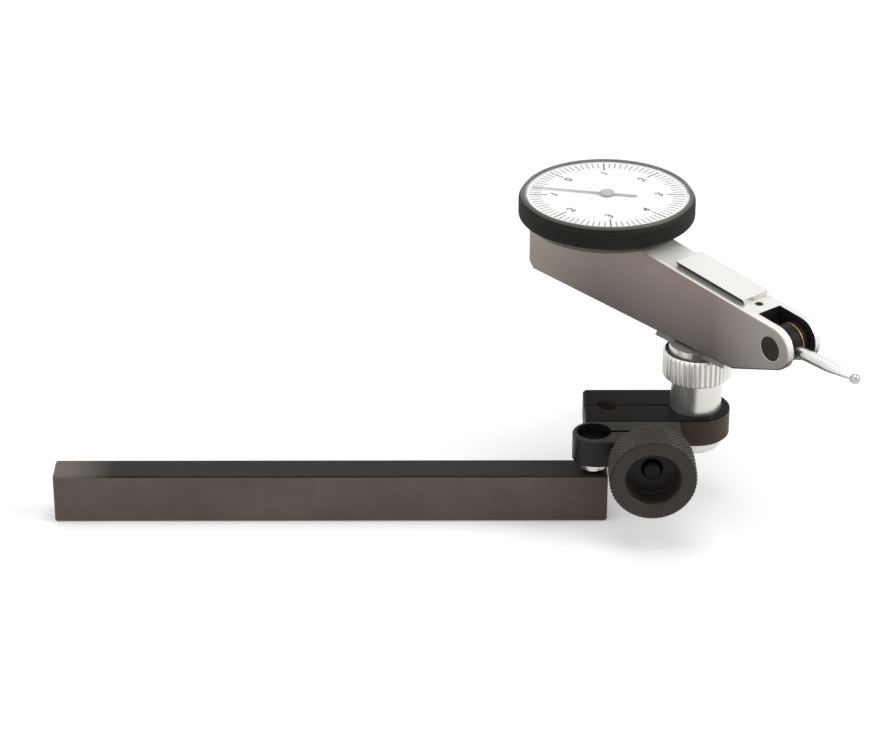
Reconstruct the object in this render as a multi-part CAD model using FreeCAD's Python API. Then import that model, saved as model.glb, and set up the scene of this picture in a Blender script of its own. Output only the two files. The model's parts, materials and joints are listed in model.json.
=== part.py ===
"""Lever dial test indicator on a swivel clamp and holding bar, in millimetres.

Row frame: origin at the centre of the holding bar's bottom face, +X along the bar towards
the clamp, +Y away from the knob, +Z up.  The indicator is built in a frame of its own
(x from its rear end to its nose, y across the body, z up from its flat underside) and the
dovetail holder in another (z up its shank, x along the dovetail); both are then seated.
Each rigid piece is one node, written to parts/NODE.step.
"""
import FreeCAD
import Part
import math
import os

V = FreeCAD.Vector
X, Y, Z = V(1, 0, 0), V(0, 1, 0), V(0, 0, 1)

# ---------------------------------------------------------------- clearances
run = 0.04              # radial clearance of a turning fit
fit = 0.02              # radial clearance of a pressed or screwed fit
face = 0.05             # gap between flat faces that move past each other
free = 0.30             # gap round a part that moves inside a hollow

# ---------------------------------------------------------------- holding bar
bar_length = 101.6      # 4 in
bar_width = 6.35        # 1/4 in
bar_height = 9.525      # 3/8 in
bar_edge = 0.35         # broken edges
pin_inset = 2.6         # swivel pin axis from the bar's clamp end
pin_spigot_r = 1.6      # pressed into the bar
pin_neck_r = 2.3
pin_head_r = 3.135      # turns in the front jaw
pin_sink = 1.3          # pin head below the top of the jaw
pin_neck_chamfer = 0.45

# ---------------------------------------------------------------- swivel clamp
jaw_lift = 2.1          # bar top to the underside of the jaws
jaw_height = 5.45
jaw_edge = 0.3
front_jaw_depth = 7.9
rear_jaw_depth = 12.7
front_jaw_tail = 6.0    # bolt axis to the front jaw's square end
rear_jaw_tail = 11.5    # bolt axis to the rear jaw's square end
bolt_from_pin = 10.1
stem_from_bolt = 9.2
small_bore_from_bolt = 7.0
small_bore_r = 2.0      # takes a 4 mm stem
large_bore_r = 4.765    # takes a 3/8 in stem
slit_width = 0.85
front_slit_past_bolt = 4.0
bolt_r = 1.75
bolt_slot_width = 0.6
bolt_slot_depth = 0.7
bolt_back_sink = 0.4    # bolt end below the rear jaw's back face

# ---------------------------------------------------------------- clamp knob
knob_r = 8.0
knob_length = 7.0
knob_edge = 0.5
knob_cup_r = 4.9
knob_cup_depth = 4.6
knob_boss_r = 4.4
knob_boss_length = 2.3
washer_r = 4.9
washer_thickness = 0.6
bolt_past_floor = 1.0   # bolt end standing in the knob's cup

# ---------------------------------------------------------------- dovetail holder
shank_chamfer = 0.5
shank_below_jaw = 2.5
shank_above_jaw = 6.4   # jaw top to the underside of the nut
nut_wall = 0.4          # round the nut's counterbore
nut_height = 5.4
nut_chamfer = 0.45
nut_ridges = 40
nut_ridge_depth = 0.32
groove_over = 0.1       # how far a groove's cut stands out of the nut
thread_r = 4.1
head_r = 5.4
head_height = 3.7
head_ring_gap = 0.2     # head to the nut's counterbore
hook_height = 1.35
hook_width = 7.2        # along the dovetail
jaw_block_width = 6.2   # movable dovetail jaw, along the dovetail
jaw_block_sink = 2.6    # how deep it stands in the head
jaw_block_opening = 0.4
flank_gap = 0.06        # hook and jaw to the dovetail's flanks

# ---------------------------------------------------------------- dovetails
dovetail_width = 6.4    # across the wide face
dovetail_height = 1.5
dovetail_length = 18.0
dovetail_angle = 60.0
dovetail_middle = 43.5  # from the indicator's rear end
dovetail_offset = 0.85  # dovetail centre behind the shank's axis
top_dovetail_rise = 1.25
top_dovetail_sink = 0.4 # root of the top dovetail inside the body
top_dovetail_length = 17.6
top_dovetail_start = 39.0
indicator_azimuth = -50.8

# ---------------------------------------------------------------- indicator body
body_width = 8.3
body_rear = -0.5
body_top = 14.7
body_slope = 4.5        # fall of the top towards the nose, degrees
body_ramp = 20.0        # rise of the underside to the nose, degrees
body_rear_chamfer = 1.3
body_edge = 0.45
nose_x = 65.4
nose_z = 7.9
nose_r = 4.1
slot_reach = 5.1        # fork slot's end behind the nose's centre
slot_width = 5.3
wall = 1.1
floor = 1.2
cavity_rear = 8.0
cavity_short = 7.3      # cavity's front end behind the fork slot
cavity_front_height = 5.2
channel_over = 1.5      # channel above and below the lever's tail
nose_screw_back = 7.7   # nose screw behind the nose's centre
nose_screw_r = 0.75
nose_screw_depth = 1.6
nose_screw_sink = 0.1

# ---------------------------------------------------------------- dial case
dial_x = 16.9           # dial centre from the indicator's rear end
cup_r = 14.75
cup_plate = 0.9
cup_rim_wall = 1.3
cup_rim_height = 2.4
cup_hole_r = 2.0
cup_screw_gap = 0.25    # screw head to the cup's rim
cup_screw_depth = 2.5
bezel_wall = 1.85       # cup to the bezel's outside
bezel_lift = 1.1        # body top to the bezel's underside
bezel_height = 4.6
bezel_lip = 1.1         # height of the sloping lip
bezel_lip_in = 0.75
bezel_edge = 0.5
ledge_width = 1.55
ledge_thickness = 0.6
dial_thickness = 0.3
dial_rim = 1.2          # dial edge to the bezel's outside
dial_hole_r = 0.9
dial_below_lip = 0.45
crystal_skirt_wall = 0.4
crystal_skirt = 0.4
crystal_thickness = 0.45
crystal_rise = 0.95
crystal_steps = 4       # flat bands of the dome
ring_wire_r = 0.2       # half the ring's square section
ring_gap = 12.0         # open angle of the wire, degrees
ring_lift = 0.9         # bezel underside to the retaining ring

# ---------------------------------------------------------------- contact lever
pivot_back = 0.45       # pivot behind the nose's centre
pivot_drop = 0.2        # pivot below the nose's centre
pivot_pin_r = 0.8
plug_r = 2.3
plug_depth = 0.9
plug_sink = 0.12
drum_r = 3.45
drum_width = 3.3
drum_edge = 0.25
friction_washer = 0.22
lever_disc_r = 3.3
tail_thickness = 0.75
tail_height = 1.5
tooth_run = 1.9         # length of the rack teeth along the body
stylus_seat = 1.2       # depth screwed into the drum
stylus_neck = 0.35      # bare neck between the drum and the collar
stylus_root_r = 0.62
stylus_collar_r = 0.96
stylus_r = 1.12
stylus_tip_r = 0.36
stylus_shoulder = 2.2   # drum surface to the full diameter
stylus_full = 5.0       # length of the full diameter
ball_r = 0.95
ball_sink = 0.3         # stylus end short of the ball's centre

# ---------------------------------------------------------------- gear train
travel_length = 0.8         # contact travel for one turn of the pointer
rack_module = 0.155
sector_teeth = 397          # teeth of the full circle that the lever's rack belongs to
rack_teeth = 7
crown_pinion_teeth = 12
crown_module = 0.12
crown_teeth = 42
centre_pinion_teeth = 10
gear_backlash = 0.07
crown_disc = 0.75
crown_hub_r = 1.1
crown_hub = 0.3             # hub behind the crown's disc
crown_gap = 0.5             # hub to the middle upright
crown_arbor_r = 0.5
pointer_arbor_r = 0.33
pinion_height = 0.7
pinion_over = 0.4           # crown pinion longer than the rack
arbor_end = 0.4             # crown arbor past its front bush
pressure_angle = 20.0
root_share, pitch_share, tip_share = 1.25, 1.0, 0.45    # tooth thickness, in pitch thicknesses
addendum = 1.0              # in modules
dedendum = 1.25

# ---------------------------------------------------------------- movement
frame_base = 0.9
frame_past_rack = 4.4175
frame_side_gap = 0.1
frame_screw_inset = 1.5     # rear screw from the frame's end
frame_screw_reach = 5.0     # front screw from the middle upright
upright = 1.2
bush_r = 0.75
bush_wall = 1.0
jewel_r = 1.0
jewel_height = 1.0
jewel_floor = 0.3
bridge_thickness = 0.9
bridge_top = 13.1
bridge_screw_depth = 2.0
bridge_corner = 0.8
screw_r = 0.7
screw_head_height = 0.5
screw_head_r = 1.0
screw_slot = 0.24
spring_turns = 4
spring_turn_steps = 14
spring_inner_r = 0.75
spring_outer_r = 2.1
spring_strip = 0.06
spring_height = 0.5
spring_stud_r = 0.3

# ---------------------------------------------------------------- pointer
pointer_short = 1.0     # pointer tip to the dial's edge
pointer_tail = 5.6
pointer_width = 0.5
pointer_tip_width = 0.16
pointer_thickness = 0.12
pointer_lift = 0.22     # dial face to the pointer
pointer_boss_r = 1.35
pointer_boss_height = 0.45
pointer_rest_angle = 168.0   # direction in the row frame at rest

# ---------------------------------------------------------------- worked out
pin_x = bar_length / 2 - pin_inset
bolt_x = pin_x + bolt_from_pin
stem_x = bolt_x + stem_from_bolt
small_bore_x = bolt_x - small_bore_from_bolt
jaw_z = bar_height + jaw_lift
jaw_top = jaw_z + jaw_height
bolt_z = jaw_z + jaw_height / 2
front_jaw_back = front_jaw_depth / 2
rear_jaw_front = front_jaw_back + face
rear_jaw_back = rear_jaw_front + rear_jaw_depth
stem_y = rear_jaw_front + rear_jaw_depth / 2
pin_bore_r = pin_head_r + run
shank_r = large_bore_r - run
nut_z = jaw_top + shank_above_jaw
seat_z = nut_z + nut_height
body_z = seat_z + dovetail_height
half_body = body_width / 2
dovetail_root = dovetail_width / 2 - dovetail_height / math.tan(math.radians(dovetail_angle))
cup_z = body_top
cup_rim_top = cup_z + cup_plate + cup_rim_height
bezel_z = body_top + bezel_lift
bezel_top = bezel_z + bezel_height
dial_top = bezel_top - dial_below_lip
dial_bottom = dial_top - dial_thickness
crown_r = crown_module * crown_teeth / 2
centre_pinion_r = crown_module * centre_pinion_teeth / 2
crown_pinion_r = rack_module * crown_pinion_teeth / 2
sector_r = rack_module * sector_teeth / 2
pivot_x = nose_x - pivot_back
pivot_z = nose_z - pivot_drop
slot_start = nose_x - slot_reach
nose_screw_x = nose_x - nose_screw_back
cavity_front = slot_start - cavity_short
rack_x = pivot_x - sector_r
frame_front = rack_x + frame_past_rack
tail_y = crown_pinion_r + dedendum * rack_module
crown_face = dial_x + centre_pinion_r + dedendum * crown_module
pointer_turn_per_lever = sector_teeth / crown_pinion_teeth * crown_teeth / centre_pinion_teeth
contact_length = travel_length * pointer_turn_per_lever / (2 * math.pi)
frame_rear = cavity_rear + free
frame_top = bridge_top - bridge_thickness
middle_upright = crown_face + crown_disc + crown_hub + crown_gap
frame_half = half_body - wall - frame_side_gap
cup_screw_span = cup_r - cup_rim_wall - screw_head_r - cup_screw_gap
cavity_open_front = dial_x + cup_screw_span - wall
bezel_r = cup_r + bezel_wall
dial_r = bezel_r - dial_rim
pointer_length = dial_r - pointer_short
pocket_r = dial_r + face


# ================================================================ helpers
def box(x0, x1, y0, y1, z0, z1):
    """Block between two corners."""
    return Part.makeBox(x1 - x0, y1 - y0, z1 - z0, V(x0, y0, z0))


def cyl(r, start, end):
    """Cylinder from one point to another."""
    axis = end - start
    return Part.makeCylinder(r, axis.Length, start, axis)


def turned(profile, centre=V(0, 0, 0)):
    """Solid of revolution about the vertical through centre, from (radius, z) points."""
    wire = Part.makePolygon([V(r, 0, z) for r, z in profile + profile[:1]])
    solid = Part.Face(wire).revolve(V(0, 0, 0), Z, 360)
    solid.translate(centre)
    return solid


def turned_along(profile, start, axis):
    """Solid of revolution about any axis, from (radius, distance along the axis) points."""
    solid = turned(profile)
    solid.Placement = FreeCAD.Placement(start, FreeCAD.Rotation(Z, axis))
    return solid


def prism(points, direction):
    """Closed outline pushed along a direction."""
    return Part.Face(Part.makePolygon(points + points[:1])).extrude(direction)


def placed(shape, origin, azimuth):
    """Copy of a shape, turned about the vertical and moved from its own frame to the row's."""
    copy = shape.copy()
    copy.Placement = FreeCAD.Placement(origin, FreeCAD.Rotation(Z, azimuth)).multiply(copy.Placement)
    return copy


def holder_to_row(shape):
    """Seat a holder piece: shank axis through the large bore, dovetail along the indicator."""
    return placed(shape, V(stem_x, stem_y, 0), indicator_azimuth)


def indicator_to_row(shape):
    """Seat an indicator piece: underside dovetail on the holder's seat."""
    turn = FreeCAD.Rotation(Z, indicator_azimuth)
    shift = turn.multVec(V(-dovetail_middle, dovetail_offset, body_z))
    return placed(shape, V(stem_x, stem_y, 0) + shift, indicator_azimuth)


def edges_at_height(shape, z):
    """Edges that lie flat at one height."""
    return [e for e in shape.Edges
            if all(abs(v.Point.z - z) < 1e-6 for v in e.Vertexes) and abs(e.CenterOfMass.z - z) < 1e-6]


def pinion(teeth, module, height):
    """Small pinion along +Z with its first tooth gap facing +X."""
    pitch_r = teeth * module / 2
    pitch_angle = 2 * math.pi / teeth
    thick = math.pi * module / 2 - gear_backlash
    flank = [(pitch_r - dedendum * module, root_share), (pitch_r, pitch_share),
             (pitch_r + addendum * module, tip_share)]
    points = []
    for tooth in range(teeth):
        middle = (tooth + 0.5) * pitch_angle
        for r, share in flank:
            points.append((r, middle - share * thick / (2 * pitch_r)))
        for r, share in reversed(flank):
            points.append((r, middle + share * thick / (2 * pitch_r)))
    outline = [V(r * math.cos(a), r * math.sin(a), 0) for r, a in points]
    return prism(outline, Z * height)


# ================================================================ bar and clamp
def holding_bar():
    """Rectangular bar with broken edges and the hole for the swivel pin."""
    bar = box(-bar_length / 2, bar_length / 2, -bar_width / 2, bar_width / 2, 0, bar_height)
    bar = bar.makeChamfer(bar_edge, bar.Edges)
    return bar.cut(cyl(pin_spigot_r + fit, V(pin_x, 0, -1), V(pin_x, 0, bar_height + 1)))


def bar_pin():
    """Swivel pin: spigot in the bar, bright neck under the jaw, head in the jaw's bore."""
    top = jaw_top - pin_sink
    return turned([(0, bar_edge), (pin_spigot_r, bar_edge), (pin_spigot_r, bar_height),
                   (pin_neck_r - pin_neck_chamfer, bar_height), (pin_neck_r, bar_height + pin_neck_chamfer),
                   (pin_neck_r, jaw_z - face), (pin_head_r, jaw_z + face), (pin_head_r, top - bar_edge),
                   (pin_head_r - bar_edge, top), (0, top)], V(pin_x, 0, 0))


def jaw_blank(x_square, x_round, y0, y1):
    """Flat jaw, square at one end and fully rounded at the other, with broken rims."""
    middle, r = (y0 + y1) / 2, (y1 - y0) / 2
    block = box(min(x_square, x_round), max(x_square, x_round), y0, y1, jaw_z, jaw_top)
    blank = block.fuse(cyl(r, V(x_round, middle, jaw_z), V(x_round, middle, jaw_top))).removeSplitter()
    upright_edges = [e for e in blank.Edges if len(e.Vertexes) == 2 and
                     abs(e.Vertexes[0].X - x_square) < 1e-6 and abs(e.Vertexes[1].X - x_square) < 1e-6 and
                     abs(e.Vertexes[0].Z - e.Vertexes[1].Z) > 1e-6]
    blank = blank.makeFillet(3 * jaw_edge, upright_edges)
    return blank.makeChamfer(jaw_edge, edges_at_height(blank, jaw_top) + edges_at_height(blank, jaw_z))


def front_jaw():
    """Front jaw: split bore on the swivel pin, clearance hole for the clamp bolt."""
    jaw = jaw_blank(bolt_x + front_jaw_tail, pin_x, -front_jaw_back, front_jaw_back)
    bore = cyl(pin_bore_r, V(pin_x, 0, jaw_z - 1), V(pin_x, 0, jaw_top + 1))
    slit = box(pin_x, bolt_x + front_slit_past_bolt, -slit_width / 2, slit_width / 2, jaw_z - 1, jaw_top + 1)
    bolt_hole = cyl(bolt_r + run, V(bolt_x, -front_jaw_depth, bolt_z), V(bolt_x, front_jaw_depth, bolt_z))
    return jaw.cut(bore).cut(slit).cut(bolt_hole)


def rear_jaw():
    """Rear jaw: split from its square end through a 4 mm bore to the 3/8 in bore."""
    jaw = jaw_blank(bolt_x - rear_jaw_tail, stem_x, rear_jaw_front, rear_jaw_back)
    large = cyl(large_bore_r, V(stem_x, stem_y, jaw_z - 1), V(stem_x, stem_y, jaw_top + 1))
    small = cyl(small_bore_r, V(small_bore_x, stem_y, jaw_z - 1), V(small_bore_x, stem_y, jaw_top + 1))
    slit = box(bolt_x - rear_jaw_tail - 1, stem_x, stem_y - slit_width / 2, stem_y + slit_width / 2,
               jaw_z - 1, jaw_top + 1)
    bolt_hole = cyl(bolt_r + fit, V(bolt_x, rear_jaw_front - 1, bolt_z), V(bolt_x, rear_jaw_back + 1, bolt_z))
    return jaw.cut(large).cut(small).cut(slit).cut(bolt_hole)


knob_back = -front_jaw_back - 2 * face - washer_thickness - knob_boss_length
knob_front = knob_back - knob_length
cup_floor = knob_front + knob_cup_depth


def clamp_bolt():
    """Stud fixed in the rear jaw, with a slotted back end, on which the knob screws."""
    start, end = cup_floor - bolt_past_floor, rear_jaw_back - bolt_back_sink
    length = end - start
    stud = turned_along([(0, 0), (bolt_r - bar_edge, 0), (bolt_r, bar_edge), (bolt_r, length), (0, length)],
                        V(bolt_x, start, bolt_z), Y)
    slot = box(bolt_x - bolt_r, bolt_x + bolt_r, end - bolt_slot_depth, end + 1,
               bolt_z - bolt_slot_width / 2, bolt_z + bolt_slot_width / 2)
    return stud.cut(slot)


def clamp_knob():
    """Round knob with a hollow face and a boss at its back."""
    depth, boss_end = knob_cup_depth, knob_length + knob_boss_length
    bore = bolt_r + run
    profile = [(bore, depth), (knob_cup_r, depth), (knob_cup_r, knob_edge), (knob_cup_r + knob_edge, 0),
               (knob_r - knob_edge, 0), (knob_r, knob_edge), (knob_r, knob_length - knob_edge),
               (knob_r - knob_edge, knob_length), (knob_boss_r, knob_length), (knob_boss_r, boss_end),
               (bore, boss_end)]
    return turned_along(profile, V(bolt_x, knob_front, bolt_z), Y)


def clamp_washer():
    """Plain washer between the knob's boss and the front jaw."""
    start = -front_jaw_back - face - washer_thickness
    return turned_along([(bolt_r + run, 0), (washer_r, 0), (washer_r, washer_thickness),
                         (bolt_r + run, washer_thickness)], V(bolt_x, start, bolt_z), Y)


# ================================================================ dovetail holder
head_z = seat_z - head_height
counterbore_r = head_r + head_ring_gap
nut_inner_r = counterbore_r + jaw_block_opening
nut_r = nut_inner_r + nut_wall
jaw_slot_half = jaw_block_width / 2 + fit
jaw_inner_seat = dovetail_offset - dovetail_width / 2 - flank_gap
jaw_inner_top = dovetail_offset - dovetail_root - flank_gap
hook_inner_seat = dovetail_offset + dovetail_width / 2 + flank_gap
undercut = hook_height / math.tan(math.radians(dovetail_angle))


def dovetail_stem():
    """Shank, threaded neck and flat head with one fixed dovetail hook on its far side."""
    shank = turned([(0, jaw_z - shank_below_jaw), (shank_r - shank_chamfer, jaw_z - shank_below_jaw),
                    (shank_r, jaw_z - shank_below_jaw + shank_chamfer), (shank_r, nut_z - shank_chamfer),
                    (shank_r - shank_chamfer, nut_z - face), (thread_r, nut_z - face), (thread_r, head_z),
                    (head_r, head_z), (head_r, seat_z), (0, seat_z)])
    x0, foot, top = -hook_width / 2, seat_z - head_height / 2, seat_z + hook_height
    hook = prism([V(x0, hook_inner_seat, foot), V(x0, hook_inner_seat, seat_z),
                  V(x0, hook_inner_seat - undercut, top), V(x0, head_r, top), V(x0, head_r, foot)],
                 X * hook_width)
    hook = hook.common(cyl(head_r, V(0, 0, foot), V(0, 0, top)))
    pocket = box(-jaw_slot_half, jaw_slot_half, -head_r - 1, jaw_inner_seat + face,
                 seat_z - jaw_block_sink - fit, seat_z + 1)
    return shank.fuse(hook).removeSplitter().cut(pocket)


def dovetail_jaw():
    """Movable half of the dovetail clamp, a block in the head's slot."""
    half = jaw_block_width / 2
    foot, top = seat_z - jaw_block_sink, seat_z + hook_height
    outline = [V(-half, jaw_inner_seat, foot), V(-half, jaw_inner_seat, seat_z),
               V(-half, jaw_inner_seat + undercut, top), V(-half, -head_r, top), V(-half, -head_r, foot)]
    limit = cyl(head_r - fit, V(0, 0, foot), V(0, 0, top))
    return prism(outline, X * jaw_block_width).common(limit)


def stem_nut():
    """Straight-knurled nut that works the dovetail jaw."""
    bore = thread_r + run
    step = head_z - face
    lead = nut_chamfer
    nut = turned([(bore, nut_z), (nut_r - lead, nut_z), (nut_r, nut_z + lead), (nut_r, seat_z - lead - face),
                  (nut_r - lead, seat_z - face), (nut_inner_r, seat_z - face), (nut_inner_r, step),
                  (bore, step)])
    groove = prism([V(nut_r + groove_over, -nut_ridge_depth, nut_z - 1),
                    V(nut_r - nut_ridge_depth, 0, nut_z - 1),
                    V(nut_r + groove_over, nut_ridge_depth, nut_z - 1)], Z * (nut_height + 2))
    grooves = []
    for ridge in range(nut_ridges):
        one = groove.copy()
        one.rotate(V(0, 0, 0), Z, 360 * ridge / nut_ridges)
        grooves.append(one)
    return nut.cut(Part.makeCompound(grooves))


# ================================================================ indicator body
def body_outline():
    """Side outline of the body: flat bottom and top, two ramps tangent to a round nose."""
    slope, ramp = math.radians(body_slope), math.radians(body_ramp)
    nose = V(nose_x, 0, nose_z)
    top_touch = nose + V(math.sin(slope), 0, math.cos(slope)) * nose_r
    low_touch = nose + V(math.sin(ramp), 0, -math.cos(ramp)) * nose_r
    top_break = V(top_touch.x - (body_top - top_touch.z) / math.tan(slope), 0, body_top)
    low_break = V(low_touch.x - low_touch.z / math.tan(ramp), 0, 0)
    arc = Part.Arc(low_touch, nose + V(nose_r, 0, 0), top_touch).toShape()
    corners = [top_touch, top_break, V(body_rear, 0, body_top), V(body_rear, 0, body_rear_chamfer),
               V(body_rear + body_rear_chamfer, 0, 0), low_break, low_touch]
    return Part.Wire([arc] + [Part.makeLine(a, b) for a, b in zip(corners, corners[1:])])


def dovetail(length, height):
    """Male dovetail that widens upwards from z = 0, with its middle at the origin."""
    half = dovetail_width / 2
    narrow = half - height / math.tan(math.radians(dovetail_angle))
    return prism([V(-length / 2, -narrow, 0), V(-length / 2, -half, height), V(-length / 2, half, height),
                  V(-length / 2, narrow, 0)], X * length)


def top_at(x):
    """Height of the body's sloping top at a place along it."""
    slope = math.radians(body_slope)
    touch_x, touch_z = nose_x + nose_r * math.sin(slope), nose_z + nose_r * math.cos(slope)
    return min(body_top, touch_z + (touch_x - x) * math.tan(slope))


def indicator_body():
    """Hollow housing with a forked nose and a dovetail on its top and underside."""
    solid = Part.Face(body_outline()).extrude(Y * body_width)
    solid.translate(V(0, -half_body, 0))
    rims = [e for e in solid.Edges if all(abs(abs(v.Y) - half_body) < 1e-6 for v in e.Vertexes)
            and abs(abs(e.CenterOfMass.y) - half_body) < 1e-6]
    solid = solid.makeFillet(body_edge, rims)
    under = dovetail(dovetail_length, dovetail_height)
    under.rotate(V(0, 0, 0), X, 180)
    under.translate(V(dovetail_middle, 0, 0))
    middle = top_dovetail_start + top_dovetail_length / 2
    over = dovetail(top_dovetail_length, top_dovetail_rise + top_dovetail_sink)
    over.rotate(V(0, 0, 0), Y, body_slope)
    over.translate(V(middle, 0, top_at(middle) - top_dovetail_sink))
    solid = solid.fuse([under, over])
    inner = half_body - wall
    open_part = box(cavity_rear, cavity_open_front, -inner, inner, floor, body_top + 1)
    front_part = box(cavity_open_front, cavity_front, -inner, inner, pivot_z - cavity_front_height / 2,
                     pivot_z + cavity_front_height / 2)
    under_part = box(cavity_open_front, frame_front + free, -inner, inner, floor, pivot_z)
    channel = box(cavity_front - 1, slot_start + 1, tail_y - free, slot_width / 2,
                  pivot_z - tail_height / 2 - channel_over, pivot_z + tail_height / 2 + channel_over)
    slot = box(slot_start, nose_x + nose_r + 1, -slot_width / 2, slot_width / 2, -1, body_top)
    plug_hole = cyl(plug_r + fit, V(pivot_x, -half_body - 1, pivot_z), V(pivot_x, half_body + 1, pivot_z))
    screw_hole = cyl(nose_screw_r + fit, V(nose_screw_x, 0, top_at(nose_screw_x) - nose_screw_depth),
                     V(nose_screw_x, 0, body_top))
    solid = solid.cut([open_part, front_part, under_part, channel, slot, plug_hole, screw_hole])
    hole_r, head_hole_r = screw_r + fit, screw_head_r + fit
    foot = body_top - cup_screw_depth
    holes = [cyl(hole_r, V(x, 0, foot), V(x, 0, body_top + 1)) for x in cup_screw_places()]
    holes += [cyl(hole_r, V(x, 0, -1), V(x, 0, floor + 1)) for x in frame_screw_places()]
    holes += [cyl(head_hole_r, V(x, 0, -1), V(x, 0, screw_head_height + fit)) for x in frame_screw_places()]
    return solid.cut(holes)


def cup_screw_places():
    """Places of the two cup screws, one each side of the dial's centre."""
    return [dial_x - cup_screw_span, dial_x + cup_screw_span]


def frame_screw_places():
    """Places of the two screws that hold the movement frame to the body's floor."""
    return [frame_rear + frame_screw_inset, middle_upright + frame_screw_reach]


def screw(foot_z, shank_top, head_top):
    """Cheese-head screw pointing down, with a slot in its head."""
    solid = turned([(0, foot_z), (screw_r, foot_z), (screw_r, shank_top), (screw_head_r, shank_top),
                    (screw_head_r, head_top), (0, head_top)])
    half = screw_slot / 2
    slot_z = (head_top + shank_top) / 2
    return solid.cut(box(-screw_head_r, screw_head_r, -half, half, slot_z, head_top + 1))


def cup_screws():
    """Two screws through the dial cup into the body."""
    screws = []
    under_head = cup_z + cup_plate
    for x in cup_screw_places():
        one = screw(body_top - cup_screw_depth + fit, under_head, under_head + screw_head_height)
        one.translate(V(x, 0, 0))
        screws.append(one)
    return Part.makeCompound(screws)


def frame_screws():
    """Two screws up through the body's floor into the movement frame."""
    screws = []
    for x in frame_screw_places():
        one = screw(-floor - frame_base, -screw_head_height, 0)
        one.rotate(V(0, 0, 0), X, 180)
        one.translate(V(x, 0, 0))
        screws.append(one)
    return Part.makeCompound(screws)


def nose_screw():
    """Small slotted screw in the top of the nose that locks the lever's pivot bushes."""
    top = top_at(nose_screw_x) - nose_screw_sink
    foot = top_at(nose_screw_x) - nose_screw_depth + fit
    solid = cyl(nose_screw_r, V(nose_screw_x, 0, foot), V(nose_screw_x, 0, top))
    half, x0, x1 = screw_slot / 2, nose_screw_x - nose_screw_r, nose_screw_x + nose_screw_r
    return solid.cut(box(x0, x1, -half, half, (top + foot) / 2, top + 1))


def pivot_bushes():
    """Dark bearing plugs in the two cheeks of the nose, with a bore for the pivot pin."""
    inner = slot_width / 2
    plugs = []
    for side in (-1, 1):
        start, end, bore_end = [V(pivot_x, side * y, pivot_z) for y in
                                (inner, half_body - plug_sink, inner + plug_depth)]
        plugs.append(cyl(plug_r, start, end).cut(cyl(pivot_pin_r + run, start, bore_end)))
    return Part.makeCompound(plugs)


# ================================================================ dial case
def dial_cup():
    """Round dish on the body that carries the bezel, grooved for the retaining ring."""
    groove_z = bezel_z + ring_lift
    inner = cup_r - cup_rim_wall
    deep, half_groove = cup_r - ring_wire_r - fit, ring_wire_r + fit
    dish = turned([(cup_hole_r, cup_z), (cup_r, cup_z), (cup_r, groove_z - half_groove),
                   (deep, groove_z - half_groove), (deep, groove_z + half_groove),
                   (cup_r, groove_z + half_groove), (cup_r, cup_rim_top), (inner, cup_rim_top),
                   (inner, cup_z + cup_plate), (cup_hole_r, cup_z + cup_plate)], V(dial_x, 0, 0))
    holes = [cyl(screw_r + fit, V(x, 0, cup_z - 1), V(x, 0, cup_rim_top)) for x in cup_screw_places()]
    return dish.cut(holes)


def bezel():
    """Turning bezel with a sloping lip, a ledge under the dial and a groove for the ring."""
    groove_z = bezel_z + ring_lift
    bore = cup_r + run
    deep, half_groove = bore + ring_wire_r + fit, ring_wire_r + fit
    ledge_r = dial_r - ledge_width
    ledge_z = dial_bottom - ledge_thickness
    return turned([(bore, bezel_z), (bezel_r - bezel_edge, bezel_z), (bezel_r, bezel_z + bezel_edge),
                   (bezel_r, bezel_top - bezel_lip), (bezel_r - bezel_lip_in, bezel_top),
                   (pocket_r, bezel_top), (pocket_r, dial_bottom), (ledge_r, dial_bottom), (ledge_r, ledge_z),
                   (bore, ledge_z), (bore, groove_z + half_groove), (deep, groove_z + half_groove),
                   (deep, groove_z - half_groove), (bore, groove_z - half_groove)], V(dial_x, 0, 0))


def retaining_ring():
    """Square wire ring, open at one place, that snaps into both grooves and holds the bezel on."""
    r, z = cup_r + run, bezel_z + ring_lift
    outline = [V(r - ring_wire_r, 0, z - ring_wire_r), V(r + ring_wire_r, 0, z - ring_wire_r),
               V(r + ring_wire_r, 0, z + ring_wire_r), V(r - ring_wire_r, 0, z + ring_wire_r)]
    ring = Part.Face(Part.makePolygon(outline + outline[:1])).revolve(V(0, 0, 0), Z, 360 - ring_gap)
    ring.translate(V(dial_x, 0, 0))
    return ring


def dial_face():
    """Printed dial disc on the bezel's ledge."""
    disc = cyl(dial_r, V(dial_x, 0, dial_bottom), V(dial_x, 0, dial_top))
    return disc.cut(cyl(dial_hole_r, V(dial_x, 0, dial_bottom - 1), V(dial_x, 0, dial_top + 1)))


def crystal():
    """Domed clear crystal with a short skirt that stands on the dial's rim."""
    edge, inner_r = dial_top + crystal_skirt, dial_r - crystal_skirt_wall

    def dome(base_r, base_z):
        shares = [step / crystal_steps for step in range(crystal_steps, -1, -1)]
        return [(base_r * share, base_z + crystal_rise * (1 - share ** 2)) for share in shares]

    outside = [(dial_r, dial_top)] + dome(dial_r, edge + crystal_thickness)
    inside = list(reversed(dome(inner_r, edge))) + [(inner_r, dial_top)]
    return turned(outside + inside, V(dial_x, 0, 0))


# ================================================================ lever and contact point
pivot = V(pivot_x, 0, pivot_z)
drum_y0 = -slot_width / 2 + free / 2
drum_y1 = drum_y0 + drum_width
washer_y1 = drum_y1 + friction_washer
disc_y0 = washer_y1
disc_y1 = slot_width / 2 - free / 2
stylus_y = (drum_y0 + drum_y1) / 2


def ring_about_pivot(bore_r, outer_r, y0, y1):
    """Disc with a bore, on the lever's pivot axis."""
    disc = cyl(outer_r, V(pivot_x, y0, pivot_z), V(pivot_x, y1, pivot_z))
    return disc.cut(cyl(bore_r, V(pivot_x, y0 - 1, pivot_z), V(pivot_x, y1 + 1, pivot_z)))


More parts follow.
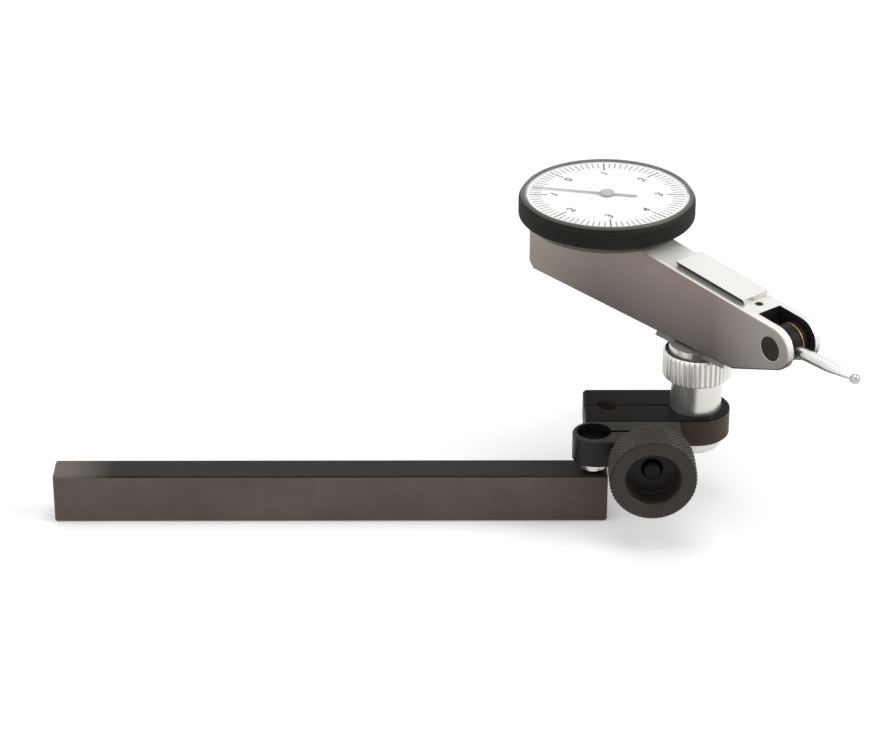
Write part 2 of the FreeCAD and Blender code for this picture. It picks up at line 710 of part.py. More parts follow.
def contact_lever():
    """Lever disc on the pivot pin with a long tail that ends in a short rack."""
    disc = ring_about_pivot(pivot_pin_r + fit, lever_disc_r, disc_y0, disc_y1)
    half_rack = (rack_teeth * math.pi * rack_module) / 2
    upper = [(pivot_x - lever_disc_r / 2, tail_height), (slot_start - 1, tail_height / 2),
             (rack_x + 2 * tooth_run, tail_height / 2), (rack_x + tooth_run / 2, half_rack),
             (rack_x - tooth_run / 2, half_rack)]
    outline = [V(x, tail_y, pivot_z + h) for x, h in upper]
    outline += [V(x, tail_y, pivot_z - h) for x, h in reversed(upper)]
    tail = prism(outline, Y * tail_thickness)
    tail = tail.cut(cyl(pivot_pin_r + fit, V(pivot_x, 0, pivot_z), V(pivot_x, half_body, pivot_z)))
    return disc.fuse([tail] + rack()).removeSplitter()


def rack():
    """Teeth on the tail's inner face, one of them level with the pivot."""
    pitch = math.pi * rack_module
    thick = pitch / 2 - gear_backlash
    flank = math.tan(math.radians(pressure_angle))
    root_half = thick / 2 + dedendum * rack_module * flank
    tip_half = thick / 2 - addendum * rack_module * flank
    x0, tip_y = rack_x - tooth_run / 2, crown_pinion_r - addendum * rack_module
    teeth = []
    for tooth in range(rack_teeth):
        z = pivot_z + (tooth - (rack_teeth - 1) / 2) * pitch
        teeth.append(prism([V(x0, tail_y + fit, z - root_half), V(x0, tip_y, z - tip_half),
                            V(x0, tip_y, z + tip_half), V(x0, tail_y + fit, z + root_half)], X * tooth_run))
    return teeth


def pivot_pin():
    """Cross pin that turns in the two bushes."""
    half = slot_width / 2 + plug_depth - face
    return cyl(pivot_pin_r, V(pivot_x, -half, pivot_z), V(pivot_x, half, pivot_z))


def friction_ring():
    """Bronze friction washer between the lever and the contact's drum."""
    return ring_about_pivot(pivot_pin_r + fit, drum_r, drum_y1, washer_y1)


def contact_drum():
    """Drum that swivels on the pivot pin and carries the contact point."""
    bore_r = pivot_pin_r + run
    rim = drum_r - drum_edge
    drum = turned_along([(bore_r, 0), (rim, 0), (drum_r, drum_edge), (drum_r, drum_width - drum_edge),
                         (rim, drum_width), (bore_r, drum_width)], V(pivot_x, drum_y0, pivot_z), Y)
    seat_start = V(pivot_x + drum_r - stylus_seat - fit, stylus_y, pivot_z)
    return drum.cut(cyl(stylus_root_r + fit, seat_start, V(pivot_x + drum_r + 1, stylus_y, pivot_z)))


def contact_point():
    """Tapered stylus screwed into the drum, with a slim neck behind the ball."""
    start, reach = drum_r - stylus_seat, contact_length - ball_sink
    shoulder, taper = drum_r + stylus_shoulder, drum_r + stylus_shoulder + stylus_full
    return turned_along([(0, start), (stylus_root_r, start), (stylus_root_r, drum_r + stylus_neck),
                         (stylus_collar_r, drum_r + 2 * stylus_neck), (stylus_r, shoulder), (stylus_r, taper),
                         (stylus_tip_r, contact_length - ball_r), (stylus_tip_r, reach), (0, reach)],
                        V(pivot_x, stylus_y, pivot_z), X)


def contact_ball():
    """Hard ball at the end of the stylus, bored for its neck."""
    centre = V(pivot_x + contact_length, stylus_y, pivot_z)
    neck = cyl(stylus_tip_r + fit, centre - X * (2 * ball_r), centre - X * (ball_sink - fit))
    return Part.makeSphere(ball_r, centre).cut(neck)


# ================================================================ movement
def movement_frame():
    """Base plate with three uprights: two carry the crown arbor, the outer ones the bridge."""
    base_top = floor + frame_base
    base = box(frame_rear, frame_front, -frame_half, frame_half, floor, base_top)
    rear_post = box(frame_rear, frame_rear + 2 * upright, -frame_half, frame_half, base_top, frame_top)
    mid_end, clear_y = middle_upright + 2 * upright, tail_y - free
    mid_post = box(middle_upright, mid_end, -frame_half, clear_y, base_top, frame_top)
    front_post = box(frame_front - upright, frame_front, -frame_half, clear_y, base_top,
                     pivot_z + bush_r + bush_wall)
    frame = base.fuse([rear_post, mid_post, front_post]).removeSplitter()
    cuts = [cyl(bush_r + fit, V(x0 - 1, 0, pivot_z), V(x1 + 1, 0, pivot_z)) for x0, x1 in bush_spans()]
    cuts += [cyl(jewel_r + fit, V(dial_x, 0, base_top - jewel_height / 2), V(dial_x, 0, base_top + 1))]
    hole_r, hole_foot = screw_r + fit, frame_top - bridge_screw_depth
    cuts += [cyl(hole_r, V(x, 0, hole_foot), V(x, 0, frame_top + 1)) for x in bridge_screw_places()]
    cuts += [cyl(hole_r, V(x, 0, 0), V(x, 0, base_top + 1)) for x in frame_screw_places()]
    return frame.cut(cuts)


def bush_spans():
    """Where the crown arbor's two bushes lie along the frame."""
    return [(middle_upright, middle_upright + 2 * upright), (frame_front - upright, frame_front)]


def bridge_screw_places():
    """Places of the two screws that hold the upper bridge."""
    return [frame_rear + upright, middle_upright + upright]


def upper_bridge():
    """Flat bridge over the centre arbor, screwed to two of the frame's uprights."""
    x1 = middle_upright + 2 * upright
    bridge = box(frame_rear, x1, -frame_half, frame_half, frame_top, bridge_top)
    corners = [e for e in bridge.Edges if abs(e.Vertexes[0].Z - e.Vertexes[1].Z) > 1e-6]
    bridge = bridge.makeFillet(bridge_corner, corners)
    hole_r = screw_r + fit
    cuts = [cyl(hole_r, V(x, 0, frame_top - 1), V(x, 0, bridge_top + 1)) for x in bridge_screw_places()]
    cuts.append(cyl(jewel_r + fit, V(dial_x, 0, frame_top - 1), V(dial_x, 0, bridge_top + 1)))
    return bridge.cut(cuts)


def bridge_screws():
    """Two screws that hold the upper bridge to the frame."""
    screws = []
    for x in bridge_screw_places():
        one = screw(frame_top - bridge_screw_depth + fit, bridge_top, bridge_top + screw_head_height)
        one.translate(V(x, 0, 0))
        screws.append(one)
    return Part.makeCompound(screws)


def jewels():
    """Upper and lower jewels of the centre arbor."""
    low_z, bore_r = floor + frame_base - jewel_height / 2, pointer_arbor_r + run
    low_top, cup_z0 = low_z + jewel_height, low_z + jewel_floor
    low = turned([(0, low_z), (jewel_r, low_z), (jewel_r, low_top), (bore_r, low_top), (bore_r, cup_z0),
                  (0, cup_z0)], V(dial_x, 0, 0))
    high = turned([(bore_r, frame_top), (jewel_r, frame_top), (jewel_r, bridge_top), (bore_r, bridge_top)],
                  V(dial_x, 0, 0))
    return Part.makeCompound([low, high])


def arbor_bushes():
    """Two bushes of the crown arbor."""
    bushes = [cyl(bush_r, V(x0, 0, pivot_z), V(x1, 0, pivot_z)).cut(
        cyl(crown_arbor_r + run, V(x0 - 1, 0, pivot_z), V(x1 + 1, 0, pivot_z))) for x0, x1 in bush_spans()]
    return Part.makeCompound(bushes)


def crown_arbor():
    """Long arbor with the pinion that the lever's rack turns."""
    start, end = crown_face + fit, frame_front + arbor_end
    shaft = cyl(crown_arbor_r, V(start, 0, pivot_z), V(end, 0, pivot_z))
    length = tooth_run + pinion_over
    gear = pinion(crown_pinion_teeth, rack_module, length)
    gear.Placement = FreeCAD.Placement(V(rack_x - length / 2, 0, pivot_z),
                                       FreeCAD.Rotation(Y, Z, X, "ZXY"))
    return shaft.fuse(gear).removeSplitter()


def crown_gear():
    """Crown wheel whose face teeth turn the centre pinion."""
    tip = crown_face - (addendum + dedendum) * crown_module
    inner, outer = crown_r - pinion_height / 2 - face, crown_r + pinion_height / 2 + face
    bore, hub_end = crown_arbor_r + fit, crown_disc + crown_hub
    wheel = turned_along([(bore, 0), (outer, 0), (outer, crown_disc), (crown_hub_r, crown_disc),
                          (crown_hub_r, hub_end), (bore, hub_end)], V(crown_face, 0, pivot_z), X)
    thick = math.pi * crown_module / 2 - gear_backlash
    flank = math.tan(math.radians(pressure_angle))
    root_half = thick / 2 + dedendum * crown_module * flank
    tip_half = thick / 2 - addendum * crown_module * flank
    tooth = prism([V(crown_face + fit, -root_half, inner), V(tip, -tip_half, inner), V(tip, tip_half, inner),
                   V(crown_face + fit, root_half, inner)], Z * (outer - inner))
    teeth = []
    for index in range(crown_teeth):
        one = tooth.copy()
        one.rotate(V(0, 0, 0), X, 360 * index / crown_teeth)
        one.translate(V(0, 0, pivot_z))
        teeth.append(one)
    return wheel.fuse(teeth).removeSplitter()


def pointer_arbor():
    """Centre arbor with its pinion, from the lower jewel up to the pointer."""
    low = floor + frame_base - jewel_height / 2 + jewel_floor + fit
    shaft = cyl(pointer_arbor_r, V(dial_x, 0, low), V(dial_x, 0, pointer_z + pointer_thickness))
    gear = pinion(centre_pinion_teeth, crown_module, pinion_height)
    gear.translate(V(dial_x, 0, pivot_z + crown_r - pinion_height / 2))
    return shaft.fuse(gear).removeSplitter()


pointer_z = dial_top + pointer_lift


def pointer():
    """Slim tapered hand with a counterweight tail."""
    local = pointer_rest_angle - indicator_azimuth
    half, tip = pointer_width / 2, pointer_tip_width / 2
    outline = [(pointer_length, -tip), (pointer_length, tip), (0, half), (-pointer_tail, half),
               (-pointer_tail, -half), (0, -half)]
    hand = prism([V(x, y, pointer_z) for x, y in outline], Z * pointer_thickness)
    hole_r = pointer_arbor_r + fit
    hand = hand.fuse(cyl(pointer_boss_r, V(0, 0, pointer_z), V(0, 0, pointer_z + pointer_thickness)))
    hand = hand.removeSplitter().cut(cyl(hole_r, V(0, 0, pointer_z - 1), V(0, 0, pointer_z + 1)))
    hand.rotate(V(0, 0, 0), Z, local)
    hand.translate(V(dial_x, 0, 0))
    return hand


def pointer_boss():
    """Round cap pressed over the arbor's end, on top of the hand."""
    z = pointer_z + pointer_thickness
    top = z + pointer_boss_height
    return turned([(0, z), (pointer_boss_r, z), (pointer_boss_r, z + pointer_boss_height / 2),
                   (pointer_boss_r / 2, top), (0, top)], V(dial_x, 0, 0))


def hairspring():
    """Flat spiral spring round the centre arbor, from its collet to a stud on the frame."""
    steps = spring_turn_steps * spring_turns
    z = floor + frame_base + jewel_height / 2 + free

    def ring_point(index, side):
        share = index / steps
        r = spring_inner_r + (spring_outer_r - spring_inner_r) * share + side * spring_strip / 2
        a = math.pi + 2 * math.pi * spring_turns * share
        return V(dial_x + r * math.cos(a), r * math.sin(a), z)

    outline = [ring_point(i, 1) for i in range(steps + 1)] + [ring_point(i, -1) for i in range(steps, -1, -1)]
    return prism(outline, Z * spring_height)


def spring_stud():
    """Stud on the frame that holds the hairspring's outer end."""
    x = dial_x - spring_outer_r - spring_strip / 2 - fit - spring_stud_r
    top = floor + frame_base + jewel_height / 2 + free + spring_height
    return cyl(spring_stud_r, V(x, 0, floor + frame_base), V(x, 0, top))


# ================================================================ build
ROW_PIECES = [holding_bar, bar_pin, front_jaw, rear_jaw, clamp_bolt, clamp_knob, clamp_washer]
HOLDER_PIECES = [dovetail_stem, dovetail_jaw, stem_nut]
INDICATOR_PIECES = [indicator_body, cup_screws, frame_screws, nose_screw, pivot_bushes, dial_cup, bezel,
                    retaining_ring, dial_face, crystal, contact_lever, pivot_pin, friction_ring, contact_drum,
                    contact_point, contact_ball, movement_frame, upper_bridge, bridge_screws, jewels,
                    arbor_bushes, crown_arbor, crown_gear, pointer_arbor, pointer, pointer_boss, hairspring,
                    spring_stud]


def main():
    """Build every node and write its STEP file."""
    os.makedirs("parts", exist_ok=True)
    pieces = [(make, make()) for make in ROW_PIECES]
    pieces += [(make, holder_to_row(make())) for make in HOLDER_PIECES]
    pieces += [(make, indicator_to_row(make())) for make in INDICATOR_PIECES]
    for make, shape in pieces:
        shape.exportStep("parts/" + make.__name__ + ".step")
        print(make.__name__, shape.isValid(), len(shape.Solids), round(shape.Volume, 2))


main()
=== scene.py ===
"""Looks of the lever test indicator, its swivel clamp and holding bar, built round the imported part.

Each sub-assembly is a class that holds its sizes, makes its own pieces and dresses its CAD nodes.
Lengths are in metres, in the row frame: +X along the bar to the clamp, -Y to the knob, +Z up.
"""

import json
import logging
import math
from dataclasses import dataclass
from enum import Enum

import bpy
import numpy as np
from mathutils import Matrix, Vector

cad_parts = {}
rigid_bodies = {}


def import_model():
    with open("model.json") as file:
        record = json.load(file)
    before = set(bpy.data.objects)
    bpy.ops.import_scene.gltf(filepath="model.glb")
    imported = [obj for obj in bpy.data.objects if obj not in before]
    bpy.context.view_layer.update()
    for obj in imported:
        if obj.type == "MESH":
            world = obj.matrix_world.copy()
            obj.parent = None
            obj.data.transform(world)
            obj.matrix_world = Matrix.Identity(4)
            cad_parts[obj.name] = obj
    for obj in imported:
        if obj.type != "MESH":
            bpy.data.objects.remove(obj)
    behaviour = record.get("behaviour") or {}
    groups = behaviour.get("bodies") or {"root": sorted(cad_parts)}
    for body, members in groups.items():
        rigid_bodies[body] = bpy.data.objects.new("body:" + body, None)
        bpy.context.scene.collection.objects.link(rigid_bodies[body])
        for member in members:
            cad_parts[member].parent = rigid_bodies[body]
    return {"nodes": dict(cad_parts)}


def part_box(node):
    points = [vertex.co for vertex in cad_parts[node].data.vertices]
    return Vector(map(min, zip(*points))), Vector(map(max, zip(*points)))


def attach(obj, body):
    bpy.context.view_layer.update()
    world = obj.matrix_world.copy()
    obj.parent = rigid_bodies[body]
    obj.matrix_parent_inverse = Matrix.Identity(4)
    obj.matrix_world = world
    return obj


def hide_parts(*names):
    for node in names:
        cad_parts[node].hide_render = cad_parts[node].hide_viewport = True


LOG = logging.getLogger("indicator")
MM = 0.001
FULL_TURN = 2 * math.pi
TOLERANCE = 0.01 * MM
CREASE = math.radians(35.0)
CORNER_STEPS = 4  # points of each rounded corner
SIDE_SHARE = 0.45  # most of a side that a rounded corner takes up
Array = np.ndarray
Triple = tuple[float, float, float]
Colour = Triple
Socket, Object, Material = bpy.types.NodeSocket, bpy.types.Object, bpy.types.Material
Paint = Socket | Colour


# ---------------------------------------------------------------- shapes
class Diagonal(Enum):
    """How the four-sided cells of a grid are cut into triangles."""

    QUADS = "left as they are"
    KNURL = "along the grooves that cross them"


@dataclass(frozen=True)
class Axis:
    """A turning axis: a point on it, its direction, and the direction from which angles count."""

    origin: Vector
    along: Vector
    start: Vector

    def points(self, radius: Array, height: Array, angle: Array) -> Array:
        """Places of points given as radius, height along the axis and angle about it.

        Args:
            radius: distances from the axis.
            height: distances along the axis from its origin.
            angle: angles about the axis, in radians.

        Returns:
            Row-frame points: origin + height * along + radius * (cos * start + sin * across).
        """
        along, start = np.array(self.along), np.array(self.start)
        across = np.cross(along, start)
        turn = np.cos(angle)[..., None] * start + np.sin(angle)[..., None] * across
        return np.array(self.origin) + height[..., None] * along + radius[..., None] * turn


@dataclass(frozen=True)
class Cutter:
    """What cuts the rim of a turned ring: a number of grooves round it, of one depth."""

    count: int
    depth: float
    rim: float

    def cut(self, radius: Array, height: Array, angle: Array) -> Array:
        """Radius left by the cutter.

        Args:
            radius: radius before cutting.
            height: distance along the axis.
            angle: angle about the axis.

        Returns:
            The smaller of the old radius and rim - depth * groove.
        """
        phase = self.count * angle / FULL_TURN
        return np.minimum(radius, self.rim - self.depth * self.groove(phase, height))

    def groove(self, phase: Array, height: Array) -> Array:
        """Share of the depth that is cut. Each kind of cutter has its own."""
        raise NotImplementedError


@dataclass(frozen=True)
class Knurl(Cutter):
    """Diamond knurl: two crossing families of V grooves.

    Steps is the number of rows to a pitch, and clear the share of a row left free at each end.
    """

    pitch: float
    steps: int = 4
    clear: float = 0.2

    def groove(self, phase: Array, height: Array) -> Array:
        """The larger of two triangle waves, of phase + height / pitch and of their difference."""
        phases = (phase + height / self.pitch, phase - height / self.pitch)
        return np.maximum(*(1 - 2 * abs(wave - np.round(wave)) for wave in phases))

    def band(self, low: float, high: float) -> Array:
        """Heights between two limits that meet the grooves' crossings."""
        step = self.pitch / self.steps
        first, last = math.ceil(low / step + self.clear), math.floor(high / step - self.clear)
        return np.arange(first, last + 1) * step


@dataclass(frozen=True)
class Ridges(Cutter):
    """Straight ridges with rounded lands, parallel to the axis."""

    land: float = 0.62

    def groove(self, phase: Array, height: Array) -> Array:
        """Nought over the land's share of the pitch, and a half sine over the groove."""
        off, half_groove = abs(phase - np.round(phase)), (1 - self.land) / 2
        return np.where(off < half_groove, np.cos(0.5 * math.pi * off / half_groove), 0.0)


def upright(place: Vector, height: float) -> Axis:
    """Upright axis through a place, starting at that height, with angles that count from +X."""
    return Axis(Vector((place.x, place.y, height)), Vector((0, 0, 1)), Vector((1, 0, 0)))


def eased(corners: Array, reach: float) -> Array:
    """Round the corners of a closed profile.

    Args:
        corners: (n, 2) corners of the profile, in order.
        reach: distance from each corner at which its curve begins and ends.

    Returns:
        (n * CORNER_STEPS, 2) points. Each corner P becomes the curve (1-t)^2 A + 2t(1-t) P + t^2 C,
        with A and C on its two sides, no further off than SIDE_SHARE of the side.
    """
    corner = np.asarray(corners, float)
    sides = [np.roll(corner, shift, 0) - corner for shift in (1, -1)]
    ends = []
    for side in sides:
        length = np.linalg.norm(side, axis=1, keepdims=True)
        ends.append(corner + side / length * np.minimum(reach, SIDE_SHARE * length))
    t = np.linspace(0, 1, CORNER_STEPS)[None, :, None]
    weights, places = ((1 - t) ** 2, 2 * t * (1 - t), t ** 2), (ends[0], corner, ends[1])
    return sum(weight * place[:, None] for weight, place in zip(weights, places)).reshape(-1, 2)


def linked(name: str, data: bpy.types.ID) -> Object:
    """New object with that data, at the origin and linked to the scene."""
    made = bpy.data.objects.new(name, data)
    bpy.context.scene.collection.objects.link(made)
    return made


def mesh_object(name: str, points: Array, faces: list[Array]) -> Object:
    """Make a mesh object at the origin, with its faces pointing outwards.

    Faces that enclose a negative volume are turned round. Edges sharper than CREASE are sharp.

    Args:
        name: name of the piece.
        points: (n, 3) row-frame points.
        faces: arrays of point indices, each (m, 3) or (m, 4).

    Returns:
        The new object, linked to the scene.
    """
    volume = 0.0
    for block in faces:
        first, *others = points[block.T]
        for second, third in zip(others, others[1:]):
            volume += float((first * np.cross(second, third)).sum())
    order = slice(None, None, 1 if volume > 0 else -1)
    lists = [row for block in faces for row in block[:, order].tolist()]
    mesh = bpy.data.meshes.new(name)
    mesh.from_pydata(points.tolist(), [], lists)
    mesh.polygons.foreach_set("use_smooth", np.ones(len(mesh.polygons), bool))
    mesh.set_sharp_from_angle(angle=CREASE)
    mesh.update()
    return linked(name, mesh)


def grid_faces(rows: int, columns: int, rows_close: bool, diagonal: Diagonal, period: int) -> Array:
    """Faces of a grid whose columns close on themselves.

    Args:
        rows: number of rows.
        columns: number of columns round the axis.
        rows_close: True where the last row joins the first.
        diagonal: how the cells are cut.
        period: columns from one groove to the next, for a knurl.

    Returns:
        (m, 4) or (m, 3) indices.
    """
    strips = rows if rows_close else rows - 1
    row, column = np.meshgrid(np.arange(strips), np.arange(columns), indexing="ij")
    up, on = (row + 1) % rows, (column + 1) % columns
    a, b = row * columns + column, row * columns + on
    c, d = up * columns + on, up * columns + column
    if diagonal is Diagonal.QUADS:
        return np.stack([a, b, c, d], -1).reshape(-1, 4)
    plus, minus = (row + column + 1) % period, (column - row) % period
    plus, minus = np.minimum(plus, period - plus), np.minimum(minus, period - minus)
    first = np.where((plus <= minus)[..., None], np.stack([a, b, d], -1), np.stack([a, b, c], -1))
    second = np.where((plus <= minus)[..., None], np.stack([b, c, d], -1), np.stack([a, c, d], -1))
    return np.concatenate([first.reshape(-1, 3), second.reshape(-1, 3)])


def turn_angles(rows: int, columns: int) -> Array:
    """Angles of a grid of points: one full turn in equal steps along each row."""
    return np.tile(np.linspace(0, FULL_TURN, columns, endpoint=False), (rows, 1))


def turned_ring(name: str, axis: Axis, profile: Array, columns: int,
                cutter: Cutter, reach: float) -> Object:
    """Ring from a closed profile turned about an axis, with a cut rim.

    Args:
        name: name of the piece.
        axis: turning axis.
        profile: (n, 2) closed profile of radius and height.
        columns: number of steps round the axis.
        cutter: what cuts the rim.
        reach: the cutter works on profile points outside this radius.

    Returns:
        The ring. Point (i, j) has the profile's i-th radius and height and the angle j of a full
        turn, with the cutter's radius where it reaches.
    """
    angle = turn_angles(len(profile), columns)
    radius = profile[:, :1] + np.zeros_like(angle)
    height = profile[:, 1:] + np.zeros_like(angle)
    outer = profile[:, :1] > reach - TOLERANCE
    radius = np.where(outer, cutter.cut(radius, height, angle), radius)
    points = axis.points(radius, height, angle).reshape(-1, 3)
    cells = (Diagonal.KNURL, cutter.steps) if isinstance(cutter, Knurl) else (Diagonal.QUADS, 1)
    return mesh_object(name, points, [grid_faces(len(profile), columns, True, *cells)])


def knurled_ring(name: str, axis: Axis, corners: Array, rounding: float, knurl: Knurl) -> Object:
    """Turned ring with a knurled rim.

    Args:
        name: name of the piece.
        axis: turning axis.
        corners: (n, 2) corners of the profile. The first two are the ends of the rim, and the
            knurl works on what lies outside the last one.
        rounding: how far each corner's curve reaches.
        knurl: the knurl on the rim.

    Returns:
        The ring, with a row of points wherever the knurl's grooves cross on its rim.
    """
    curve = eased(corners, rounding)
    band = knurl.band(corners[0][1] + rounding, corners[1][1] - rounding)
    rows = np.stack([np.full(len(band), knurl.rim), band], -1)
    profile = np.concatenate([curve[:CORNER_STEPS], rows, curve[CORNER_STEPS:]])
    return turned_ring(name, axis, profile, knurl.count * knurl.steps, knurl, corners[-1][0])


def turned_solid(name: str, axis: Axis, profile: Array, columns: int) -> Object:
    """Solid from an open profile that starts and ends on its axis.

    Args:
        name: name of the piece.
        axis: turning axis.
        profile: (n, 2) radius and height, with radius nought at both ends.
        columns: number of steps round the axis.

    Returns:
        The solid: rings of points at each inner profile point, closed by one point at each end.
    """
    inner = profile[1:-1]
    angle = turn_angles(len(inner), columns)
    rings = axis.points(inner[:, :1] + 0 * angle, inner[:, 1:] + 0 * angle, angle).reshape(-1, 3)
    poles = axis.points(np.zeros(2), profile[[0, -1], 1], np.zeros(2))
    points = np.concatenate([rings, poles])
    column = np.arange(columns)
    on, last = (column + 1) % columns, (len(inner) - 1) * columns
    low = np.stack([on, column, np.full(columns, len(rings))], -1)
    high = np.stack([last + column, last + on, np.full(columns, len(rings) + 1)], -1)
    side = grid_faces(len(inner), columns, False, Diagonal.QUADS, 1)
    return mesh_object(name, points, [side, low, high])


# ---------------------------------------------------------------- finishes
class Grain(Enum):
    """Direction of the fine marks in a surface, as the scale of each axis for the noise."""

    EVEN = (1.0, 1.0, 1.0)
    ALONG_BAR = (0.06, 1.0, 1.0)
    AROUND_UPRIGHT = (0.1, 0.1, 1.0)


@dataclass(frozen=True)
class Turning:
    """Fine rings left by a lathe: the turning axis and the pitch of the rings."""

    centre: Triple
    keep: Triple
    pitch: float


@dataclass(frozen=True)
class Zone:
    """Part of a surface with another colour, by its distance from a place: the piece's own colour,
    painted light or painted shade.

    The distance is the length of the offset from the centre, times keep on each axis, so keep
    makes it a distance from a plane, a line or a point. The colour fades from near to far.
    """

    centre: Triple
    keep: Triple
    near: float
    far: float
    colour: Colour


@dataclass(frozen=True)
class Slot:
    """Walls of an upright slot, darkened with painted shade: all that lies in its box, seen from above.

    The heading is a unit vector along the slot.
    """

    centre: Triple
    heading: Triple
    half_length: float
    half_width: float
    colour: Colour


# Spans of a value: where a mask begins and ends, and what it comes to there.
Span = tuple[float, float]
RISE = (0.0, 1.0)
FALL = (1.0, 0.0)
SLOT_EDGE = (1.0, 1.01)
NOISE_MIDDLE = (0.3, 0.7)
MOTTLE = (0.35, 0.65)
TOWARDS = (0.35, 0.7)
SLOPING = (0.2, 0.4)
NEARLY_FLAT = (0.65, 0.85)
EDGE_BEND = (0.97, 0.80)
# Share of the edge colour on rounded edges: wear, and a painted edge highlight.
EDGE_WEAR_AND_HIGHLIGHT = (0.0, 0.85)
PATCH = (0.3, 0.6)
PATCH_WEAR = (0.35, 1.0)
FINE_DETAIL = 2.0
ROUGH_SPREAD = 0.05
RING_RELIEF = 0.000012
BEVEL_SAMPLES = 6


class Nodes:
    """A node tree, built call by call."""

    def __init__(self, holder: Material | bpy.types.World) -> None:
        """Start with an empty tree on that material or world."""
        self.holder = holder
        holder.use_nodes = True
        self.tree = holder.node_tree
        self.tree.nodes.clear()

    def add(self, kind: str, inputs: dict | None = None, **settings) -> bpy.types.Node:
        """Add a node.

        Args:
            kind: type of the node, without its ShaderNode prefix.
            inputs: value or source socket for each named or numbered input.
            settings: the node's own properties.

        Returns:
            The new node.
        """
        node = self.tree.nodes.new("ShaderNode" + kind)
        for key, value in settings.items():
            setattr(node, key, value)
        for key, value in (inputs or {}).items():
            if isinstance(value, Socket):
                self.tree.links.new(value, node.inputs[key])
            else:
                node.inputs[key].default_value = value
        return node

    def noise(self, where: Socket, size: float, detail: float = 3.0) -> Socket:
        """Noise whose features are about that size, in metres."""
        inputs = {"Vector": where, "Scale": 1 / size, "Detail": detail, "Roughness": 0.6}
        return self.add("TexNoise", inputs).outputs["Fac"]

    def ramp(self, value: Socket, span: Span, result: Span = RISE) -> Socket:
        """Value moved from one span to another, and kept inside it."""
        inputs = {0: value, 1: span[0], 2: span[1], 3: result[0], 4: result[1]}
        return self.add("MapRange", inputs).outputs[0]

    def blend(self, share: Socket, first: Paint, second: Paint) -> Socket:
        """Colour between two, by share."""
        ends = [value if isinstance(value, Socket) else (*value, 1.0) for value in (first, second)]
        return self.add("Mix", {0: share, 6: ends[0], 7: ends[1]}, data_type="RGBA").outputs[2]

    def number(self, operation: str, first: Socket, second: Socket | float = 0.0) -> Socket:
        """Result of an operation on one or two numbers."""
        return self.add("Math", {0: first, 1: second}, operation=operation).outputs[0]

    def vector(self, operation: str, first: Socket, second: Triple) -> Socket:
        """Result of an operation on two vectors."""
        return self.add("VectorMath", {0: first, 1: second}, operation=operation).outputs[0]

    def along(self, vector: Socket, direction: Triple) -> Socket:
        """Part of a vector along a direction: their dot product."""
        inputs = {0: vector, 1: direction}
        return self.add("VectorMath", inputs, operation="DOT_PRODUCT").outputs["Value"]

    def distance(self, where: Socket, centre: Triple, keep: Triple) -> Socket:
        """Length of the offset from a centre, with each axis kept or dropped."""
        kept = self.vector("MULTIPLY", self.vector("SUBTRACT", where, centre), keep)
        return self.add("VectorMath", {0: kept}, operation="LENGTH").outputs["Value"]

    def zoned(self, where: Socket, colour: Paint, zones: tuple[Zone, ...]) -> Paint:
        """Colour with each zone's own colour laid over it in turn.

        Args:
            where: place on the object.
            colour: colour outside the zones.
            zones: the zones, of which a later one lies over an earlier one.

        Returns:
            The mixed colour, or the colour itself where there are no zones.
        """
        for zone in zones:
            share = self.ramp(self.distance(where, zone.centre, zone.keep), (zone.near, zone.far), FALL)
            colour = self.blend(share, colour, zone.colour)
        return colour

    def slotted(self, where: Socket, colour: Socket, slot: Slot) -> Socket:
        """Colour with the slot's painted shade inside its box.

        Args:
            where: place on the object.
            colour: colour outside the slot.
            slot: the slot and the colour of its painted shade.

        Returns:
            The slot's colour where max(|along| / half length, |across| / half width) is below one.
        """
        off = self.vector("SUBTRACT", where, slot.centre)
        x, y, _ = slot.heading
        lengthways = self.along(off, (x / slot.half_length, y / slot.half_length, 0))
        across = self.along(off, (-y / slot.half_width, x / slot.half_width, 0))
        sizes = [self.number("ABSOLUTE", part) for part in (lengthways, across)]
        most = self.number("MAXIMUM", *sizes)
        return self.blend(self.ramp(most, SLOT_EDGE, FALL), colour, slot.colour)

    def relief(self, height: Socket, depth: float, **under: Socket) -> Socket:
        """Normal of a surface raised by a height times a depth, over the normal under it."""
        inputs = {"Height": height, "Strength": 1.0, "Distance": depth, **under}
        return self.add("Bump", inputs).outputs[0]

    def seen(self) -> Socket:
        """One for rays from the camera, from gloss and through clear pieces, otherwise nought."""
        rays = self.add("LightPath").outputs
        direct = self.number("MAXIMUM", rays["Is Camera Ray"], rays["Is Glossy Ray"])
        return self.number("MAXIMUM", direct, rays["Is Transmission Ray"])

    def finish(self, shader: bpy.types.Node) -> Material:
        """Join the shader to the output and return the material."""
        self.add("OutputMaterial", {"Surface": shader.outputs[0]})
        return self.holder


